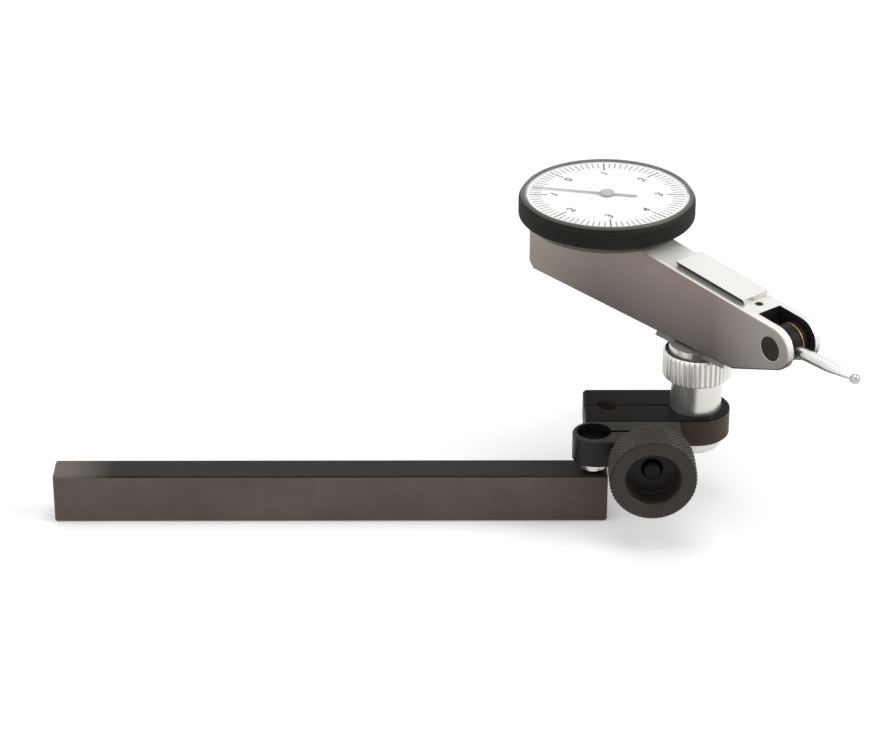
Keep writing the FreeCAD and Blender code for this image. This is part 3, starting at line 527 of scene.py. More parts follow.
@dataclass(frozen=True)
class Metal:
    """Metal or a coating on metal, with mottling, fine grain, broken edges and painted edge highlights.

    The top colour is painted light and shade on faces that point along a given direction: a
    painted highlight, or a painted reflection of dark surroundings. The underside colour is
    painted shade on faces that slope downwards.
    """

    name: str
    colour: Colour
    second: Colour
    metallic: float
    roughness: float
    # Colour of rounded edges: wear, and a painted edge highlight.
    edge: Colour | None = None
    mottle: float = 0.006
    grain: Grain = Grain.EVEN
    grain_size: float = 0.0002
    relief: float = 0.000004
    edge_radius: float = 0.00018
    specular: float = 0.5
    zones: tuple[Zone, ...] = ()
    # Painted light and shade on faces that point along a direction, with zones of its own.
    upper: Colour | None = None
    upper_zones: tuple[Zone, ...] = ()
    upper_side: Triple = (0.0, 0.0, 1.0)
    # Painted shade on faces that slope downwards.
    undercut: Colour | None = None
    # Painted shade on the walls of a slot.
    slot: Slot | None = None
    turning: Turning | None = None

    def material(self) -> Material:
        """Make the material: painted colour, edge wear with painted edge highlights, and roughness and
        relief by fine noise.
        """
        nodes = Nodes(bpy.data.materials.new(self.name))
        place = nodes.add("TexCoord").outputs
        where = place["Object"]
        drawn = nodes.add("Mapping", {"Vector": where, "Scale": self.grain.value}).outputs[0]
        slow, fine = nodes.noise(where, self.mottle), nodes.noise(drawn, self.grain_size, FINE_DETAIL)
        colour = self.painted(nodes, where, place["Normal"], slow)
        flat = nodes.add("NewGeometry").outputs["Normal"]
        rounded = flat
        if self.edge_radius:
            rounded = nodes.add("Bevel", {"Radius": self.edge_radius}, samples=BEVEL_SAMPLES).outputs[0]
        # Rounded edges take the edge colour: wear, and a painted edge highlight.
        if self.edge is not None:
            edge_wear_and_highlight = nodes.ramp(nodes.along(rounded, flat), EDGE_BEND, EDGE_WEAR_AND_HIGHLIGHT)
            patchy = nodes.number("MULTIPLY", edge_wear_and_highlight, nodes.ramp(slow, PATCH, PATCH_WEAR))
            colour = nodes.blend(patchy, colour, self.edge)
        # Painted shade on the walls of the slot.
        if self.slot is not None:
            colour = nodes.slotted(where, colour, self.slot)
        normal = nodes.relief(fine, self.relief, Normal=rounded)
        if self.turning is not None:
            normal = nodes.relief(self.rings(nodes, where), RING_RELIEF, Normal=normal)
        least, most = self.roughness - ROUGH_SPREAD, self.roughness + ROUGH_SPREAD
        rough = nodes.ramp(fine, NOISE_MIDDLE, (least, most))
        return nodes.finish(nodes.add("BsdfPrincipled", {
            "Base Color": colour, "Metallic": self.metallic, "Roughness": rough,
            "Specular IOR Level": self.specular, "Normal": normal}))

    def painted(self, nodes: Nodes, where: Socket, facing: Socket, slow: Socket) -> Socket:
        """Colour before edge wear and painted edge highlights.

        Args:
            nodes: the material's nodes.
            where: place on the object.
            facing: direction in which the surface points, on the object.
            slow: noise that mixes the two colours.

        Returns:
            The mixed colour under its zones, with the painted top light and shade and the painted
            underside shade.
        """
        colour = nodes.blend(nodes.ramp(slow, MOTTLE), self.colour, self.second)
        colour = nodes.zoned(where, colour, self.zones)
        # Painted light and shade: faces that point along the direction take the top colour.
        if self.upper is not None:
            upper = nodes.zoned(where, self.upper, self.upper_zones)
            share = nodes.ramp(nodes.along(facing, self.upper_side), TOWARDS)
            colour = nodes.blend(share, colour, upper)
        # Painted shade: faces that slope downwards take the underside colour.
        if self.undercut is not None:
            below = nodes.along(facing, (0, 0, -1))
            sloping, not_flat = nodes.ramp(below, SLOPING), nodes.ramp(below, NEARLY_FLAT, FALL)
            colour = nodes.blend(nodes.number("MULTIPLY", sloping, not_flat), colour, self.undercut)
        return colour

    def rings(self, nodes: Nodes, where: Socket) -> Socket:
        """Height of lathe rings: noise along the distance from the turning axis."""
        radius = nodes.distance(where, self.turning.centre, self.turning.keep)
        inputs = {"W": radius, "Scale": 1 / self.turning.pitch, "Detail": FINE_DETAIL}
        return nodes.add("TexNoise", inputs, noise_dimensions="1D").outputs["Fac"]


@dataclass(frozen=True)
class Enamel:
    """Matt paint or print with a faint mottle."""

    name: str
    colour: Colour
    second: Colour
    roughness: float
    mottle: float = 0.003
    grain_size: float = 0.00012
    grain_relief: float = 0.000001

    def material(self) -> Material:
        """Make the material: two close colours mixed by noise, with a very fine relief."""
        nodes = Nodes(bpy.data.materials.new(self.name))
        where = nodes.add("TexCoord").outputs["Object"]
        colour = nodes.blend(nodes.noise(where, self.mottle), self.colour, self.second)
        normal = nodes.relief(nodes.noise(where, self.grain_size), self.grain_relief)
        return nodes.finish(nodes.add("BsdfPrincipled", {
            "Base Color": colour, "Roughness": self.roughness, "Normal": normal}))


@dataclass(frozen=True)
class Clear:
    """Clear moulded crystal, thin enough to look straight through."""

    name: str
    tint: Colour
    roughness: float
    alpha: float
    mark_size: float = 0.004
    mark_spread: float = 1.6
    bending: float = 1.49

    def material(self) -> Material:
        """Make the material: a mostly see-through coat with faint surface marks."""
        nodes = Nodes(bpy.data.materials.new(self.name))
        noise = nodes.noise(nodes.add("TexCoord").outputs["Object"], self.mark_size)
        marks = nodes.ramp(noise, NOISE_MIDDLE, (self.roughness, self.roughness * self.mark_spread))
        return nodes.finish(nodes.add("BsdfPrincipled", {
            "Base Color": (*self.tint, 1.0), "Roughness": marks, "Alpha": self.alpha,
            "IOR": self.bending}))


Finish = Metal | Enamel | Clear
Pieces = dict[str, Object]

# Front jaw: the lighter top colour is a painted highlight; the edges are wear and painted highlight.
FRONT_BLACK = Metal(
    "blued_front_jaw", (0.014, 0.0115, 0.010), (0.010, 0.0085, 0.0075), 0.2, 0.40, specular=0.25,
    edge=(0.085, 0.078, 0.068), grain_size=0.00016, relief=0.000007, upper=(0.026, 0.022, 0.018))
# Rear jaw: the near-black top colour is a painted reflection of dark surroundings.
REAR_BLACK = Metal(
    "blued_rear_jaw", (0.064, 0.049, 0.040), (0.052, 0.040, 0.033), 0.1, 0.46, specular=0.06,
    edge=(0.085, 0.078, 0.068), grain_size=0.00016, relief=0.000007, upper=(0.0065, 0.0055, 0.005))
BOLT_BLACK = Metal(
    "black_bolt", (0.006, 0.005, 0.0045), (0.009, 0.008, 0.007), 0.2, 0.45, specular=0.15,
    grain_size=0.00014)
BLACK = Metal(
    "black_oxide", (0.010, 0.0085, 0.0075), (0.015, 0.013, 0.0115), 0.2, 0.38, specular=0.3,
    edge=(0.06, 0.056, 0.05), grain_size=0.00014)
# Bright steel: the whiter top colour is a painted highlight.
BRIGHT = Metal(
    "bright_turned_steel", (0.68, 0.665, 0.635), (0.62, 0.605, 0.58), 0.9, 0.30,
    grain=Grain.AROUND_UPRIGHT, grain_size=0.00005, relief=0.0000001, edge_radius=0.0,
    upper=(0.88, 0.87, 0.85))
# Satin nut: the whiter top colour is a painted highlight.
SATIN_NUT = Metal(
    "satin_nut", (0.80, 0.775, 0.735), (0.72, 0.695, 0.655), 0.75, 0.36, grain_size=0.00014,
    relief=0.000002, upper=(0.90, 0.89, 0.87), edge_radius=0.00008)
# Dial cup, darkened with painted shade so that its rim under the bezel reads as a shadow gap.
SHADED_CUP = Metal(
    "cup_painted_shade", (0.095, 0.083, 0.074), (0.080, 0.070, 0.062), 0.3, 0.45,
    grain_size=0.00010, relief=0.000003)
# Stylus: painted highlight on top and painted shade on faces that slope downwards.
POLISHED = Metal(
    "polished_stylus", (0.74, 0.725, 0.70), (0.68, 0.665, 0.64), 0.9, 0.22, grain_size=0.00005,
    relief=0.0000001, edge_radius=0.0, upper=(0.80, 0.79, 0.77), undercut=(0.10, 0.09, 0.08))
HARD = Metal("hard_chrome_ball", (0.50, 0.49, 0.475), (0.45, 0.44, 0.43), 1.0, 0.14, relief=0.0000002)
BRONZE = Metal("bronze_washer", (0.42, 0.235, 0.145), (0.35, 0.19, 0.115), 1.0, 0.32)
BRASS = Metal("brass_plate", (0.72, 0.53, 0.25), (0.66, 0.47, 0.21), 1.0, 0.30)
RUBY = Metal("ruby_jewel", (0.45, 0.02, 0.05), (0.38, 0.015, 0.04), 0.0, 0.08, relief=0.0)
SPRING = Metal("spring_strip", (0.30, 0.33, 0.42), (0.26, 0.29, 0.38), 1.0, 0.25)
HAND = Metal("grey_hand", (0.47, 0.455, 0.425), (0.42, 0.405, 0.38), 0.3, 0.40, edge_radius=0.00002)
DIAL = Enamel("dial_enamel", (0.92, 0.915, 0.90), (0.90, 0.895, 0.88), 0.55)
INK = Enamel("dial_ink", (0.035, 0.035, 0.035), (0.05, 0.05, 0.048), 0.6)
CRYSTAL = Clear("clear_crystal", (0.95, 0.97, 0.96), 0.03, 0.05)


def wear(piece: Object, finish: Finish) -> None:
    """Give a piece a finish, in every slot it has.

    Args:
        piece: the piece.
        finish: the finish, whose material is made the first time a piece wears it.
    """
    material = bpy.data.materials.get(finish.name) or finish.material()
    if not piece.material_slots:
        piece.data.materials.append(material)
    for slot in piece.material_slots:
        slot.material = material
    LOG.info("%s wears %s", piece.name, finish.name)


def settle(piece: Object, finish: Finish, body: str) -> None:
    """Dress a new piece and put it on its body.

    Args:
        piece: the new piece.
        finish: its finish.
        body: the moving body that it rides on.
    """
    wear(piece, finish)
    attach(piece, body)
    LOG.info("%s has %d faces and moves with %s", piece.name, len(piece.data.polygons), body)


def middle(node: str) -> Vector:
    """Centre of a CAD node's box."""
    low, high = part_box(node)
    return (low + high) / 2


# ---------------------------------------------------------------- sub-assemblies
@dataclass
class Assembly:
    """A part of the whole. It makes pieces of its own and dresses the CAD's, which it has by node."""

    nodes: Pieces

    def dress(self, finish: Finish, *names: str) -> None:
        """Give the CAD's pieces of those names one finish."""
        for name in names:
            wear(self.nodes[name], finish)

    def build(self) -> None:
        """Make and dress the pieces. Each assembly has its own way."""
        raise NotImplementedError


@dataclass
class HoldingBar(Assembly):
    """Dark ground bar with a painted dark reflection on top except at its free end, and the swivel pin
    at its other end.
    """

    # Where the painted reflection at the free end starts to fade and where it ends, and how far the
    # painted shade at the clamp end reaches.
    light_end: float = 3 * MM
    light_fade: float = 11 * MM
    dark_fade: float = 14 * MM
    pin_neck: float = 0.2 * MM

    def build(self) -> None:
        """Dress the bar and the pin, whose head in the jaw is painted dark as shade and whose neck is
        bright.
        """
        low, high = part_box("holding_bar")
        # Painted reflection: the top lightens towards the free end.
        free_end_reflection = Zone((low.x, 0, 0), (1, 0, 0), self.light_end, self.light_fade, (0.125, 0.11, 0.09))
        # Painted shade: the bar darkens towards the clamp.
        clamp_end_shade = Zone((high.x, 0, 0), (1, 0, 0), 0, self.dark_fade, (0.082, 0.064, 0.049))
        # The near-black top colour is a painted reflection of dark surroundings.
        self.dress(Metal(
            "oxide_bar", (0.124, 0.100, 0.079), (0.100, 0.081, 0.064), 0.1, 0.48, specular=0.15,
            edge=(0.36, 0.33, 0.29), mottle=0.010, grain=Grain.ALONG_BAR, grain_size=0.00022,
            relief=0.000008, edge_radius=0.00012, zones=(clamp_end_shade,), upper=(0.013, 0.011, 0.0095),
            upper_zones=(free_end_reflection,)), "holding_bar")
        jaw_low, jaw_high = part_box("front_jaw")
        jaw_height = jaw_high.z - jaw_low.z
        # Painted shade: the pin's head inside the jaw is dark, as in the shade of the bore.
        head = Zone((0, 0, jaw_high.z), (0, 0, 1), jaw_height - self.pin_neck, jaw_height,
                    (0.012, 0.011, 0.010))
        self.dress(Metal(
            "pin_with_painted_shade", (0.72, 0.70, 0.66), (0.60, 0.58, 0.55), 0.9, 0.28,
            grain=Grain.AROUND_UPRIGHT, relief=0.0000005, edge_radius=0.0, zones=(head,)), "bar_pin")


@dataclass
class SwivelClamp(Assembly):
    """Two dark split jaws on one stud, drawn together by a round knob.

    The knob has a diamond-knurled rim, a hollow face and a boss behind.
    """

    length: float = 7.0 * MM
    cup_radius: float = 4.9 * MM
    cup_depth: float = 4.6 * MM
    edge: float = 0.5 * MM
    rounding: float = 0.25 * MM
    boss_radius: float = 4.4 * MM
    bore_radius: float = 1.79 * MM
    teeth: int = 60
    groove: float = 0.30 * MM
    groove_pitch: float = 1.15 * MM
    face_fade: float = 0.1 * MM
    wall_fade: float = 0.2 * MM
    floor_short: float = 0.1 * MM
    lathe_pitch: float = 0.00012

    def build(self) -> None:
        """Build the knob and dress the jaws, the stud and the washer."""
        self.knob()
        self.dress(FRONT_BLACK, "front_jaw")
        self.dress(REAR_BLACK, "rear_jaw")
        self.dress(BOLT_BLACK, "clamp_bolt")
        self.dress(BRIGHT, "clamp_washer")

    def knob(self) -> None:
        """Turn the knob: a closed profile whose rim rows meet the knurl's crossings."""
        low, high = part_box("clamp_knob")
        centre = (low + high) / 2
        rim = (high.x - low.x) / 2
        boss_end = high.y - low.y
        axis = Axis(Vector((centre.x, low.y, centre.z)), Vector((0, 1, 0)), Vector((1, 0, 0)))
        knurl = Knurl(self.teeth, self.groove, rim, self.groove_pitch)
        boss, cup, inner_rim = self.boss_radius, self.cup_radius, rim - self.edge
        corners = np.array([
            (rim, self.edge), (rim, self.length - self.edge), (inner_rim, self.length),
            (boss, self.length), (boss, boss_end), (self.bore_radius, boss_end),
            (self.bore_radius, self.cup_depth), (cup, self.cup_depth), (cup, self.edge),
            (cup + self.edge, 0), (inner_rim, 0)])
        knob = knurled_ring("knurled_knob", axis, corners, self.rounding, knurl)
        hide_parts("clamp_knob")
        place, keep = (centre.x, 0, centre.z), (1, 0, 1)
        # Painted shade in the grooves of the knurl.
        valley_shade = Zone(place, keep, rim - self.groove, rim, (0.012, 0.010, 0.008))
        face = Zone(place, keep, inner_rim, inner_rim + self.face_fade, (0.035, 0.028, 0.022))
        # Painted light: the hollow's wall is lightened against its own shade.
        wall_painted_light = Zone(place, keep, cup, cup + self.wall_fade, (0.045, 0.037, 0.032))
        # Painted shade: the floor of the hollow is near black.
        floor = Zone(place, keep, cup - self.floor_short, cup - self.floor_short / 2,
                     (0.004, 0.003, 0.0025))
        settle(knob, Metal(
            "black_knob", (0.075, 0.064, 0.052), (0.060, 0.051, 0.041), 0.2, 0.42, specular=0.25,
            edge=(0.10, 0.09, 0.075), grain_size=0.00014, edge_radius=0.0001,
            zones=(valley_shade, face, wall_painted_light, floor), turning=Turning(place, keep, self.lathe_pitch)),
            "clamp_knob")


@dataclass
class DovetailHolder(Assembly):
    """Bright shank with a head and hook, its movable jaw, and the ridged nut round the head."""

    ridges: int = 40
    ridge_depth: float = 0.36 * MM
    chamfer: float = 0.45 * MM
    rounding: float = 0.18 * MM
    bore_radius: float = 4.14 * MM
    hollow_radius: float = 6.0 * MM
    hollow_depth: float = 3.7 * MM
    columns_each: int = 12

    def build(self) -> None:
        """Build the nut and dress the shank and the jaw."""
        self.nut()
        self.dress(BRIGHT, "dovetail_stem", "dovetail_jaw")

    def nut(self) -> None:
        """Turn the nut: a closed profile whose outside the ridges cut."""
        low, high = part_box("stem_nut")
        centre = (low + high) / 2
        rim, height = (high.x - low.x) / 2, high.z - low.z
        axis = upright(centre, low.z)
        cut, hollow = self.chamfer, height - self.hollow_depth
        corners = np.array([
            (rim, cut), (rim, height - cut), (rim - cut, height), (self.hollow_radius, height),
            (self.hollow_radius, hollow), (self.bore_radius, hollow), (self.bore_radius, 0),
            (rim - cut, 0)])
        nut = turned_ring("ridged_nut", axis, eased(corners, self.rounding),
                          self.ridges * self.columns_each, Ridges(self.ridges, self.ridge_depth, rim),
                          rim - cut)
        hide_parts("stem_nut")
        settle(nut, SATIN_NUT, "stem_nut")


@dataclass
class IndicatorHousing(Assembly):
    """Satin housing with a forked nose, its screws, bushes and dial cup, and the movement inside."""

    # Reach and fade of the painted light at the rear, and of that at the nose.
    rear_reach: float = 16 * MM
    rear_fade: float = 30 * MM
    nose_near: float = 2 * MM
    nose_fade: float = 15 * MM
    # Where the painted shade towards the bottom is full and where it ends, as shares of the height.
    foot_low: float = 0.1
    foot_high: float = 0.8
    # Lean and rise of the direction of the painted light on the housing's top.
    upper_lean: float = 0.6
    upper_rise: float = 0.8
    slot_half_length: float = 4.70 * MM
    slot_half_width: float = 2.70 * MM

    def build(self) -> None:
        """Dress the housing, with painted shade towards its bottom and painted light at both ends, and
        everything it holds.
        """
        screws, pivot = middle("cup_screws"), middle("pivot_pin")
        along = (pivot - screws).normalized()
        rear = screws - along * (2 * (middle("dial_face") - screws).length + self.rear_reach)
        # Painted light: the housing lightens towards its rear and its nose.
        rear_painted_light = Zone(tuple(rear), (1, 1, 0), 0.0, self.rear_fade, (0.37, 0.33, 0.285))
        nose_painted_light = Zone(tuple(pivot), (1, 1, 0), self.nose_near, self.nose_fade,
                          (0.385, 0.355, 0.325))
        low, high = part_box("indicator_body")
        height = high.z - low.z
        # Painted shade: the housing darkens towards its bottom.
        foot_shade = Zone((0, 0, low.z), (0, 0, 1), self.foot_low * height, self.foot_high * height,
                    (0.100, 0.087, 0.075))
        heading = Vector((along.x, along.y, 0)).normalized()
        # Direction of the painted light: up, leaning towards the nose.
        upper_side = self.upper_lean * heading + Vector((0, 0, self.upper_rise))
        # Painted shade on the walls of the fork's slot.
        slot = Slot(tuple(pivot), tuple(heading), self.slot_half_length, self.slot_half_width,
                    (0.030, 0.027, 0.024))
        # Its dark sides are a painted reflection of dark surroundings, its whiter top a painted
        # highlight, its bright edges a painted highlight, and its downward flanks painted shade.
        self.dress(Metal(
            "satin_chrome_body", (0.272, 0.218, 0.186), (0.240, 0.193, 0.165), 0.45, 0.38,
            edge=(0.85, 0.84, 0.82), zones=(foot_shade, rear_painted_light, nose_painted_light), upper=(0.78, 0.77, 0.74),
            upper_side=tuple(upper_side), undercut=(0.035, 0.031, 0.027), slot=slot, mottle=0.020,
            grain_size=0.00010, relief=0.000003, edge_radius=0.00020), "indicator_body")
        self.dress(SHADED_CUP, "dial_cup")
        self.dress(BLACK, "nose_screw", "pivot_bushes")
        self.dress(BRIGHT, "cup_screws", "frame_screws", "bridge_screws", "crown_arbor",
                   "pointer_arbor")
        self.dress(BRASS, "movement_frame", "upper_bridge", "crown_gear", "spring_stud")
        self.dress(BRONZE, "arbor_bushes")
        self.dress(RUBY, "jewels")
        self.dress(SPRING, "hairspring")


@dataclass
class DialCase(Assembly):
    """Turning bezel, its printed dial, the hand and the domed crystal."""

    lip: float = 1.1 * MM
    lip_in: float = 0.75 * MM
    edge: float = 0.5 * MM
    rounding: float = 0.14 * MM
    ledge_width: float = 1.55 * MM
    ledge_thickness: float = 0.6 * MM
    bore_radius: float = 14.79 * MM
    groove_radius: float = 15.01 * MM
    groove_middle: float = 0.9 * MM
    groove_half: float = 0.22 * MM
    pocket_play: float = 0.05 * MM
    # Where the painted highlight on the lip starts and ends, as shares of the lip.
    lip_shade: Span = (0.2, 0.5)
    skirt: float = 0.4 * MM
    skirt_wall: float = 0.4 * MM
    dome_rise: float = 0.95 * MM
    dome_rows: int = 14
    dome_columns: int = 128
    teeth: int = 160
    knurl_depth: float = 0.22 * MM
    knurl_pitch: float = 0.8 * MM
    divisions: int = 80
    tick_outer: float = 14.5 * MM
    tick_inner: float = 12.4 * MM
    five_inner: float = 12.0 * MM
    ten_inner: float = 11.2 * MM
    tick_width: float = 0.16 * MM
    ten_width: float = 0.272 * MM
    print_thickness: float = 0.02 * MM
    number_count: int = 8
    numbers_radius: float = 9.8 * MM
    number_size: float = 2.4 * MM
    boldness: float = 0.045 * MM
    figure_steps: int = 3
    zero_direction: float = math.radians(135.0)

    def __post_init__(self) -> None:
        """Read the dial's place from the frame."""
        self.low, self.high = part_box("bezel")
        self.centre = (self.low + self.high) / 2
        self.dial_low, self.dial_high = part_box("dial_face")

    def build(self) -> None:
        """Build bezel, crystal, ticks and numbers, and dress the dial, the hand and the ring."""
        self.bezel()
        self.crystal()
        self.ticks()
        self.numbers()
        self.dress(DIAL, "dial_face")
        self.dress(HAND, "pointer", "pointer_boss")
        self.dress(BRIGHT, "retaining_ring")

    def bezel(self) -> None:
        """Turn the bezel: a closed profile with a sloping lip and a knurled band."""
        rim, height = (self.high.x - self.low.x) / 2, self.high.z - self.low.z
        dial_radius = (self.dial_high.x - self.dial_low.x) / 2
        pocket, ledge = dial_radius + self.pocket_play, dial_radius - self.ledge_width
        floor = self.dial_low.z - self.low.z
        under, bore, groove = floor - self.ledge_thickness, self.bore_radius, self.groove_radius
        groove_low, groove_high = (self.groove_middle + side * self.groove_half for side in (-1, 1))
        corners = np.array([
            (rim, self.edge), (rim, height - self.lip), (rim - self.lip_in, height), (pocket, height),
            (pocket, floor), (ledge, floor), (ledge, under), (bore, under), (bore, groove_high),
            (groove, groove_high), (groove, groove_low), (bore, groove_low), (bore, 0),
            (rim - self.edge, 0)])
        knurl = Knurl(self.teeth, self.knurl_depth, rim, self.knurl_pitch)
        axis = upright(self.centre, self.low.z)
        bezel = knurled_ring("knurled_bezel", axis, corners, self.rounding, knurl)
        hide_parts("bezel")
        place, keep = (self.centre.x, self.centre.y, 0), (1, 1, 0)
        # Painted shade in the grooves of the knurl.
        valley_shade = Zone(place, keep, rim - self.knurl_depth, rim, (0.004, 0.0035, 0.003))
        # Painted highlight along the top of the lip.
        near, far = (share * self.lip for share in self.lip_shade)
        lip = Zone((0, 0, self.high.z), (0, 0, 1), near, far, (0.11, 0.103, 0.088))
        settle(bezel, Metal(
            "black_bezel_finish", (0.030, 0.027, 0.022), (0.022, 0.020, 0.016), 0.2, 0.40,
            specular=0.2, edge=(0.07, 0.066, 0.052), grain_size=0.00012, edge_radius=0.00008,
            zones=(valley_shade, lip)), "bezel")

    def crystal(self) -> None:
        """Turn the crystal: two parallel domes, z = rise * (1 - (r/R)^2), on a short skirt."""
        low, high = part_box("crystal")
        radius, height = (high.x - low.x) / 2, high.z - low.z
        bore = radius - self.skirt_wall
        share = np.linspace(1, 0, self.dome_rows)
        rise = self.dome_rise * (1 - share ** 2)
        outside = np.stack([radius * share, height - self.dome_rise + rise], -1)
        inside = np.stack([bore * share, self.skirt + rise], -1)[::-1]
        profile = np.concatenate([inside, [(bore, 0), (radius, 0)], outside])
        dome = turned_solid("domed_crystal", upright(self.centre, low.z), profile, self.dome_columns)
        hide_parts("crystal")
        settle(dome, CRYSTAL, "bezel")

    def ticks(self) -> None:
        """Print the ticks: thin plates, point = centre + r * (cos, sin) +- half width across."""
        index = np.arange(self.divisions)
        angle = self.zero_direction - FULL_TURN * index / self.divisions
        tens, fives = index % 10 == 0, index % 5 == 0
        inner = np.where(tens, self.ten_inner, np.where(fives, self.five_inner, self.tick_inner))
        half = np.where(tens, self.ten_width, self.tick_width) / 2
        out = np.stack([np.cos(angle), np.sin(angle)], -1)
        across = np.stack([-np.sin(angle), np.cos(angle)], -1)
        start, end, side = out * inner[:, None], out * self.tick_outer, across * half[:, None]
        flat = np.stack([start - side, end - side, end + side, start + side], 1)
        flat += np.array([self.centre.x, self.centre.y])
        heights = (self.dial_high.z, self.dial_high.z + self.print_thickness)
        layers = [np.concatenate([flat, np.full(flat.shape[:2] + (1,), z)], -1) for z in heights]
        points = np.concatenate(layers, 1).reshape(-1, 3)
        plate = np.array([(3, 2, 1, 0), (4, 5, 6, 7), (0, 1, 5, 4), (1, 2, 6, 5), (2, 3, 7, 6),
                          (3, 0, 4, 7)])
        faces = (index[:, None, None] * (plate.max() + 1) + plate[None]).reshape(-1, 4)
        settle(mesh_object("dial_ticks", points, [faces]), INK, "bezel")

    def numbers(self) -> None:
        """Print the numbers, upright when the nought is at the top."""
        turn = Matrix.Rotation(self.zero_direction - math.pi / 2, 4, "Z")
        for index in range(self.number_count):
            angle = self.zero_direction - FULL_TURN * index / self.number_count
            place = Vector((self.centre.x + self.numbers_radius * math.cos(angle),
                            self.centre.y + self.numbers_radius * math.sin(angle),
                            self.dial_high.z + self.print_thickness / 2))
            number = self.figure(f"dial_number_{index}", str(min(index, self.number_count - index)))
            number.data.transform(Matrix.Translation(place) @ turn)
            settle(number, INK, "bezel")

    def figure(self, name: str, text: str) -> Object:
        """Thin raised figure as a mesh centred on the origin.

        Args:
            name: name of the piece.
            text: the figure.

        Returns:
            The mesh object.
        """
        outline = name + "_outline"
        curve = bpy.data.curves.new(outline, "FONT")
        curve.body, curve.size, curve.extrude = text, self.number_size, self.print_thickness / 2
        curve.align_x, curve.align_y = "CENTER", "CENTER"
        curve.resolution_u, curve.offset = self.figure_steps, self.boldness
        holder = bpy.data.objects.new(outline, curve)
        mesh = bpy.data.meshes.new_from_object(holder)
        mesh.name = name
        bpy.data.objects.remove(holder)
        return linked(name, mesh)


@dataclass
class ContactLever(Assembly):
    """Lever, friction washer and drum in the fork, with the tapered stylus and its ball."""

    root_radius: float = 0.62 * MM
    collar_radius: float = 0.96 * MM
    shaft_radius: float = 1.12 * MM
    neck_radius: float = 0.46 * MM
    root_sunk: float = 1.2 * MM
    gap: float = 0.35 * MM
    shaft_start: float = 2.2 * MM
    shaft_end: float = 7.2 * MM
    ball_overlap: float = 0.3 * MM
    collar_share: float = 0.9
    taper_steps: int = 16
    taper_power: float = 1.25
    columns: int = 48

    def build(self) -> None:
        """Build the stylus and dress what is round it."""
        self.stylus()
        self.dress(BOLT_BLACK, "contact_lever", "contact_drum")
        self.dress(BRONZE, "friction_ring")
        self.dress(BRIGHT, "pivot_pin")
        self.dress(HARD, "contact_ball")

    def stylus(self) -> None:
        """Turn the stylus: its radius falls as shaft + (neck - shaft) * share ^ taper_power."""
        drum_low, drum_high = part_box("contact_drum")
        ball_low, ball_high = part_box("contact_ball")
        drum, ball = (drum_low + drum_high) / 2, (ball_low + ball_high) / 2
        along, reach = (ball - drum).normalized(), (ball - drum).length
        face = (drum_high.z - drum_low.z) / 2
        collar, neck = face + self.gap, reach - (ball_high.z - ball_low.z) / 2
        share = np.linspace(0, 1, self.taper_steps)
        falling = (self.neck_radius - self.shaft_radius) * share ** self.taper_power
        taper = np.stack([self.shaft_radius + falling,
                          face + self.shaft_end + (neck - face - self.shaft_end) * share], -1)
        bottom, end = face - self.root_sunk, neck + self.ball_overlap
        root = [(0, bottom), (self.root_radius, bottom), (self.root_radius, collar),
                (self.collar_share * self.collar_radius, collar),
                (self.collar_radius, collar + self.gap), (self.shaft_radius, face + self.shaft_start)]
        tip = [(self.neck_radius, end), (0, end)]
        axis = Axis(drum, along, along.cross(Vector((0, 0, 1))).normalized())
        stylus = turned_solid("tapered_stylus", axis, np.concatenate([root, taper, tip]), self.columns)
        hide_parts("contact_point")
        settle(stylus, POLISHED, "contact_point")


@dataclass(frozen=True)
class Lamp:
    """Square soft lamp: its place, the side of its square, and its power in watts."""

    name: str
    place: Triple
    size: float
    power: float


LAMPS = (Lamp("top_lamp", (0.0, 0.10, 0.75), 0.50, 2.2),
         Lamp("right_lamp", (0.60, -0.10, 0.45), 0.35, 2.0),
         Lamp("left_lamp", (-0.60, -0.40, 0.35), 0.50, 0.6))


def aimed(name: str, data: bpy.types.ID, place: Vector, ahead: Vector) -> Object:
    """New camera or lamp, linked to the scene.

    Args:
        name: its name.
        data: the camera's or lamp's data.
        place: where it stands.
        ahead: direction in which it looks.

    Returns:
        The new object.
    """
    made = linked(name, data)
    made.location, made.rotation_mode = place, "QUATERNION"
    made.rotation_quaternion = ahead.to_track_quat("-Z", "Y")
    return made


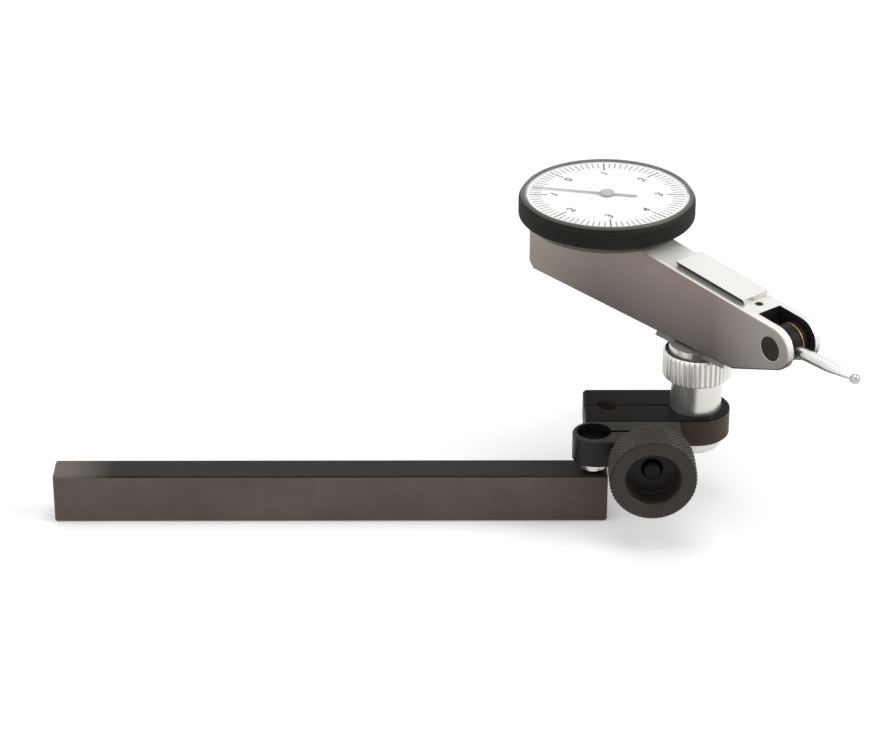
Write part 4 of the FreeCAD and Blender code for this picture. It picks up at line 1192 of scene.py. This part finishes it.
@dataclass
class Studio:
    """Pale floor, soft lamps, plain surroundings and the camera."""

    lens: float = 125.3
    sensor: float = 36.0
    look_down: float = math.radians(27.22)
    turn: float = math.radians(0.14)
    distance: float = 0.575
    aim: Triple = (0.0212, 0.012, 0.0225)
    clip: Span = (0.01, 20.0)
    floor_reach: float = 3.0
    floor_drop: float = 0.00005
    floor_mottle: float = 0.05
    floor_colour: Colour = (0.90, 0.90, 0.895)
    floor_second: Colour = (0.88, 0.88, 0.875)
    floor_roughness: float = 0.8
    floor_glow: float = 0.22
    room_light: float = 0.5

    def build(self) -> None:
        """Set up the whole studio."""
        self.camera()
        self.lamps()
        self.floor()
        self.surroundings()
        bpy.context.scene.view_settings.view_transform = "Standard"
        LOG.info("studio ready")

    def camera(self) -> None:
        """Place the camera along its line of sight, at its distance from the aim."""
        data = bpy.data.cameras.new("camera")
        data.lens, data.sensor_width = self.lens, self.sensor
        data.clip_start, data.clip_end = self.clip
        level, drop = math.cos(self.look_down), -math.sin(self.look_down)
        ahead = Vector((math.sin(self.turn) * level, math.cos(self.turn) * level, drop))
        place = Vector(self.aim) - ahead * self.distance
        bpy.context.scene.camera = aimed("camera", data, place, ahead)

    def lamps(self) -> None:
        """Hang the lamps, all of which face the object."""
        for lamp in LAMPS:
            data = bpy.data.lights.new(lamp.name, "AREA")
            data.shape, data.size, data.energy = "SQUARE", lamp.size, lamp.power
            place = Vector(lamp.place)
            aimed(lamp.name, data, place, Vector(self.aim) - place)

    def floor(self) -> None:
        """Lay the floor: one wide square just under the bar, white to the eye but shaded."""
        reach = self.floor_reach
        sides = ((-1, -1), (1, -1), (1, 1), (-1, 1))
        corners = [(x * reach, y * reach, -self.floor_drop) for x, y in sides]
        mesh = bpy.data.meshes.new("pale_floor")
        mesh.from_pydata(corners, [], [(0, 1, 2, 3)])
        floor = linked("pale_floor", mesh)
        nodes = Nodes(bpy.data.materials.new("pale_floor_paint"))
        where = nodes.add("TexCoord").outputs["Object"]
        tone = nodes.blend(nodes.noise(where, self.floor_mottle), self.floor_colour, self.floor_second)
        matt = nodes.add("BsdfPrincipled", {"Base Color": tone, "Roughness": self.floor_roughness,
                                            "Specular IOR Level": 0.0})
        strength = nodes.ramp(nodes.seen(), RISE, (0.0, self.floor_glow))
        glow = nodes.add("Emission", {"Strength": strength})
        paint = nodes.finish(nodes.add("AddShader", {0: matt.outputs[0], 1: glow.outputs[0]}))
        floor.data.materials.append(paint)

    def surroundings(self) -> None:
        """Plain pale surroundings: white where seen, softer as a light."""
        world = bpy.data.worlds.new("pale_room")
        bpy.context.scene.world = world
        nodes = Nodes(world)
        strength = nodes.ramp(nodes.seen(), RISE, (self.room_light, 1.0))
        white = nodes.add("Background", {"Color": (1, 1, 1, 1), "Strength": strength})
        nodes.add("OutputWorld", {"Surface": white.outputs[0]})


def main() -> None:
    """Load the frame and build every sub-assembly round it."""
    logging.basicConfig(level=logging.INFO, format="%(name)s %(message)s")
    for stray in list(bpy.data.objects):
        bpy.data.objects.remove(stray)
    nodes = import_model()["nodes"]
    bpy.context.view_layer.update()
    Studio().build()
    for part in (HoldingBar, SwivelClamp, DovetailHolder, IndicatorHousing, DialCase, ContactLever):
        LOG.info("building %s", part.__name__)
        part(nodes).build()


if __name__ == "__main__":
    main()
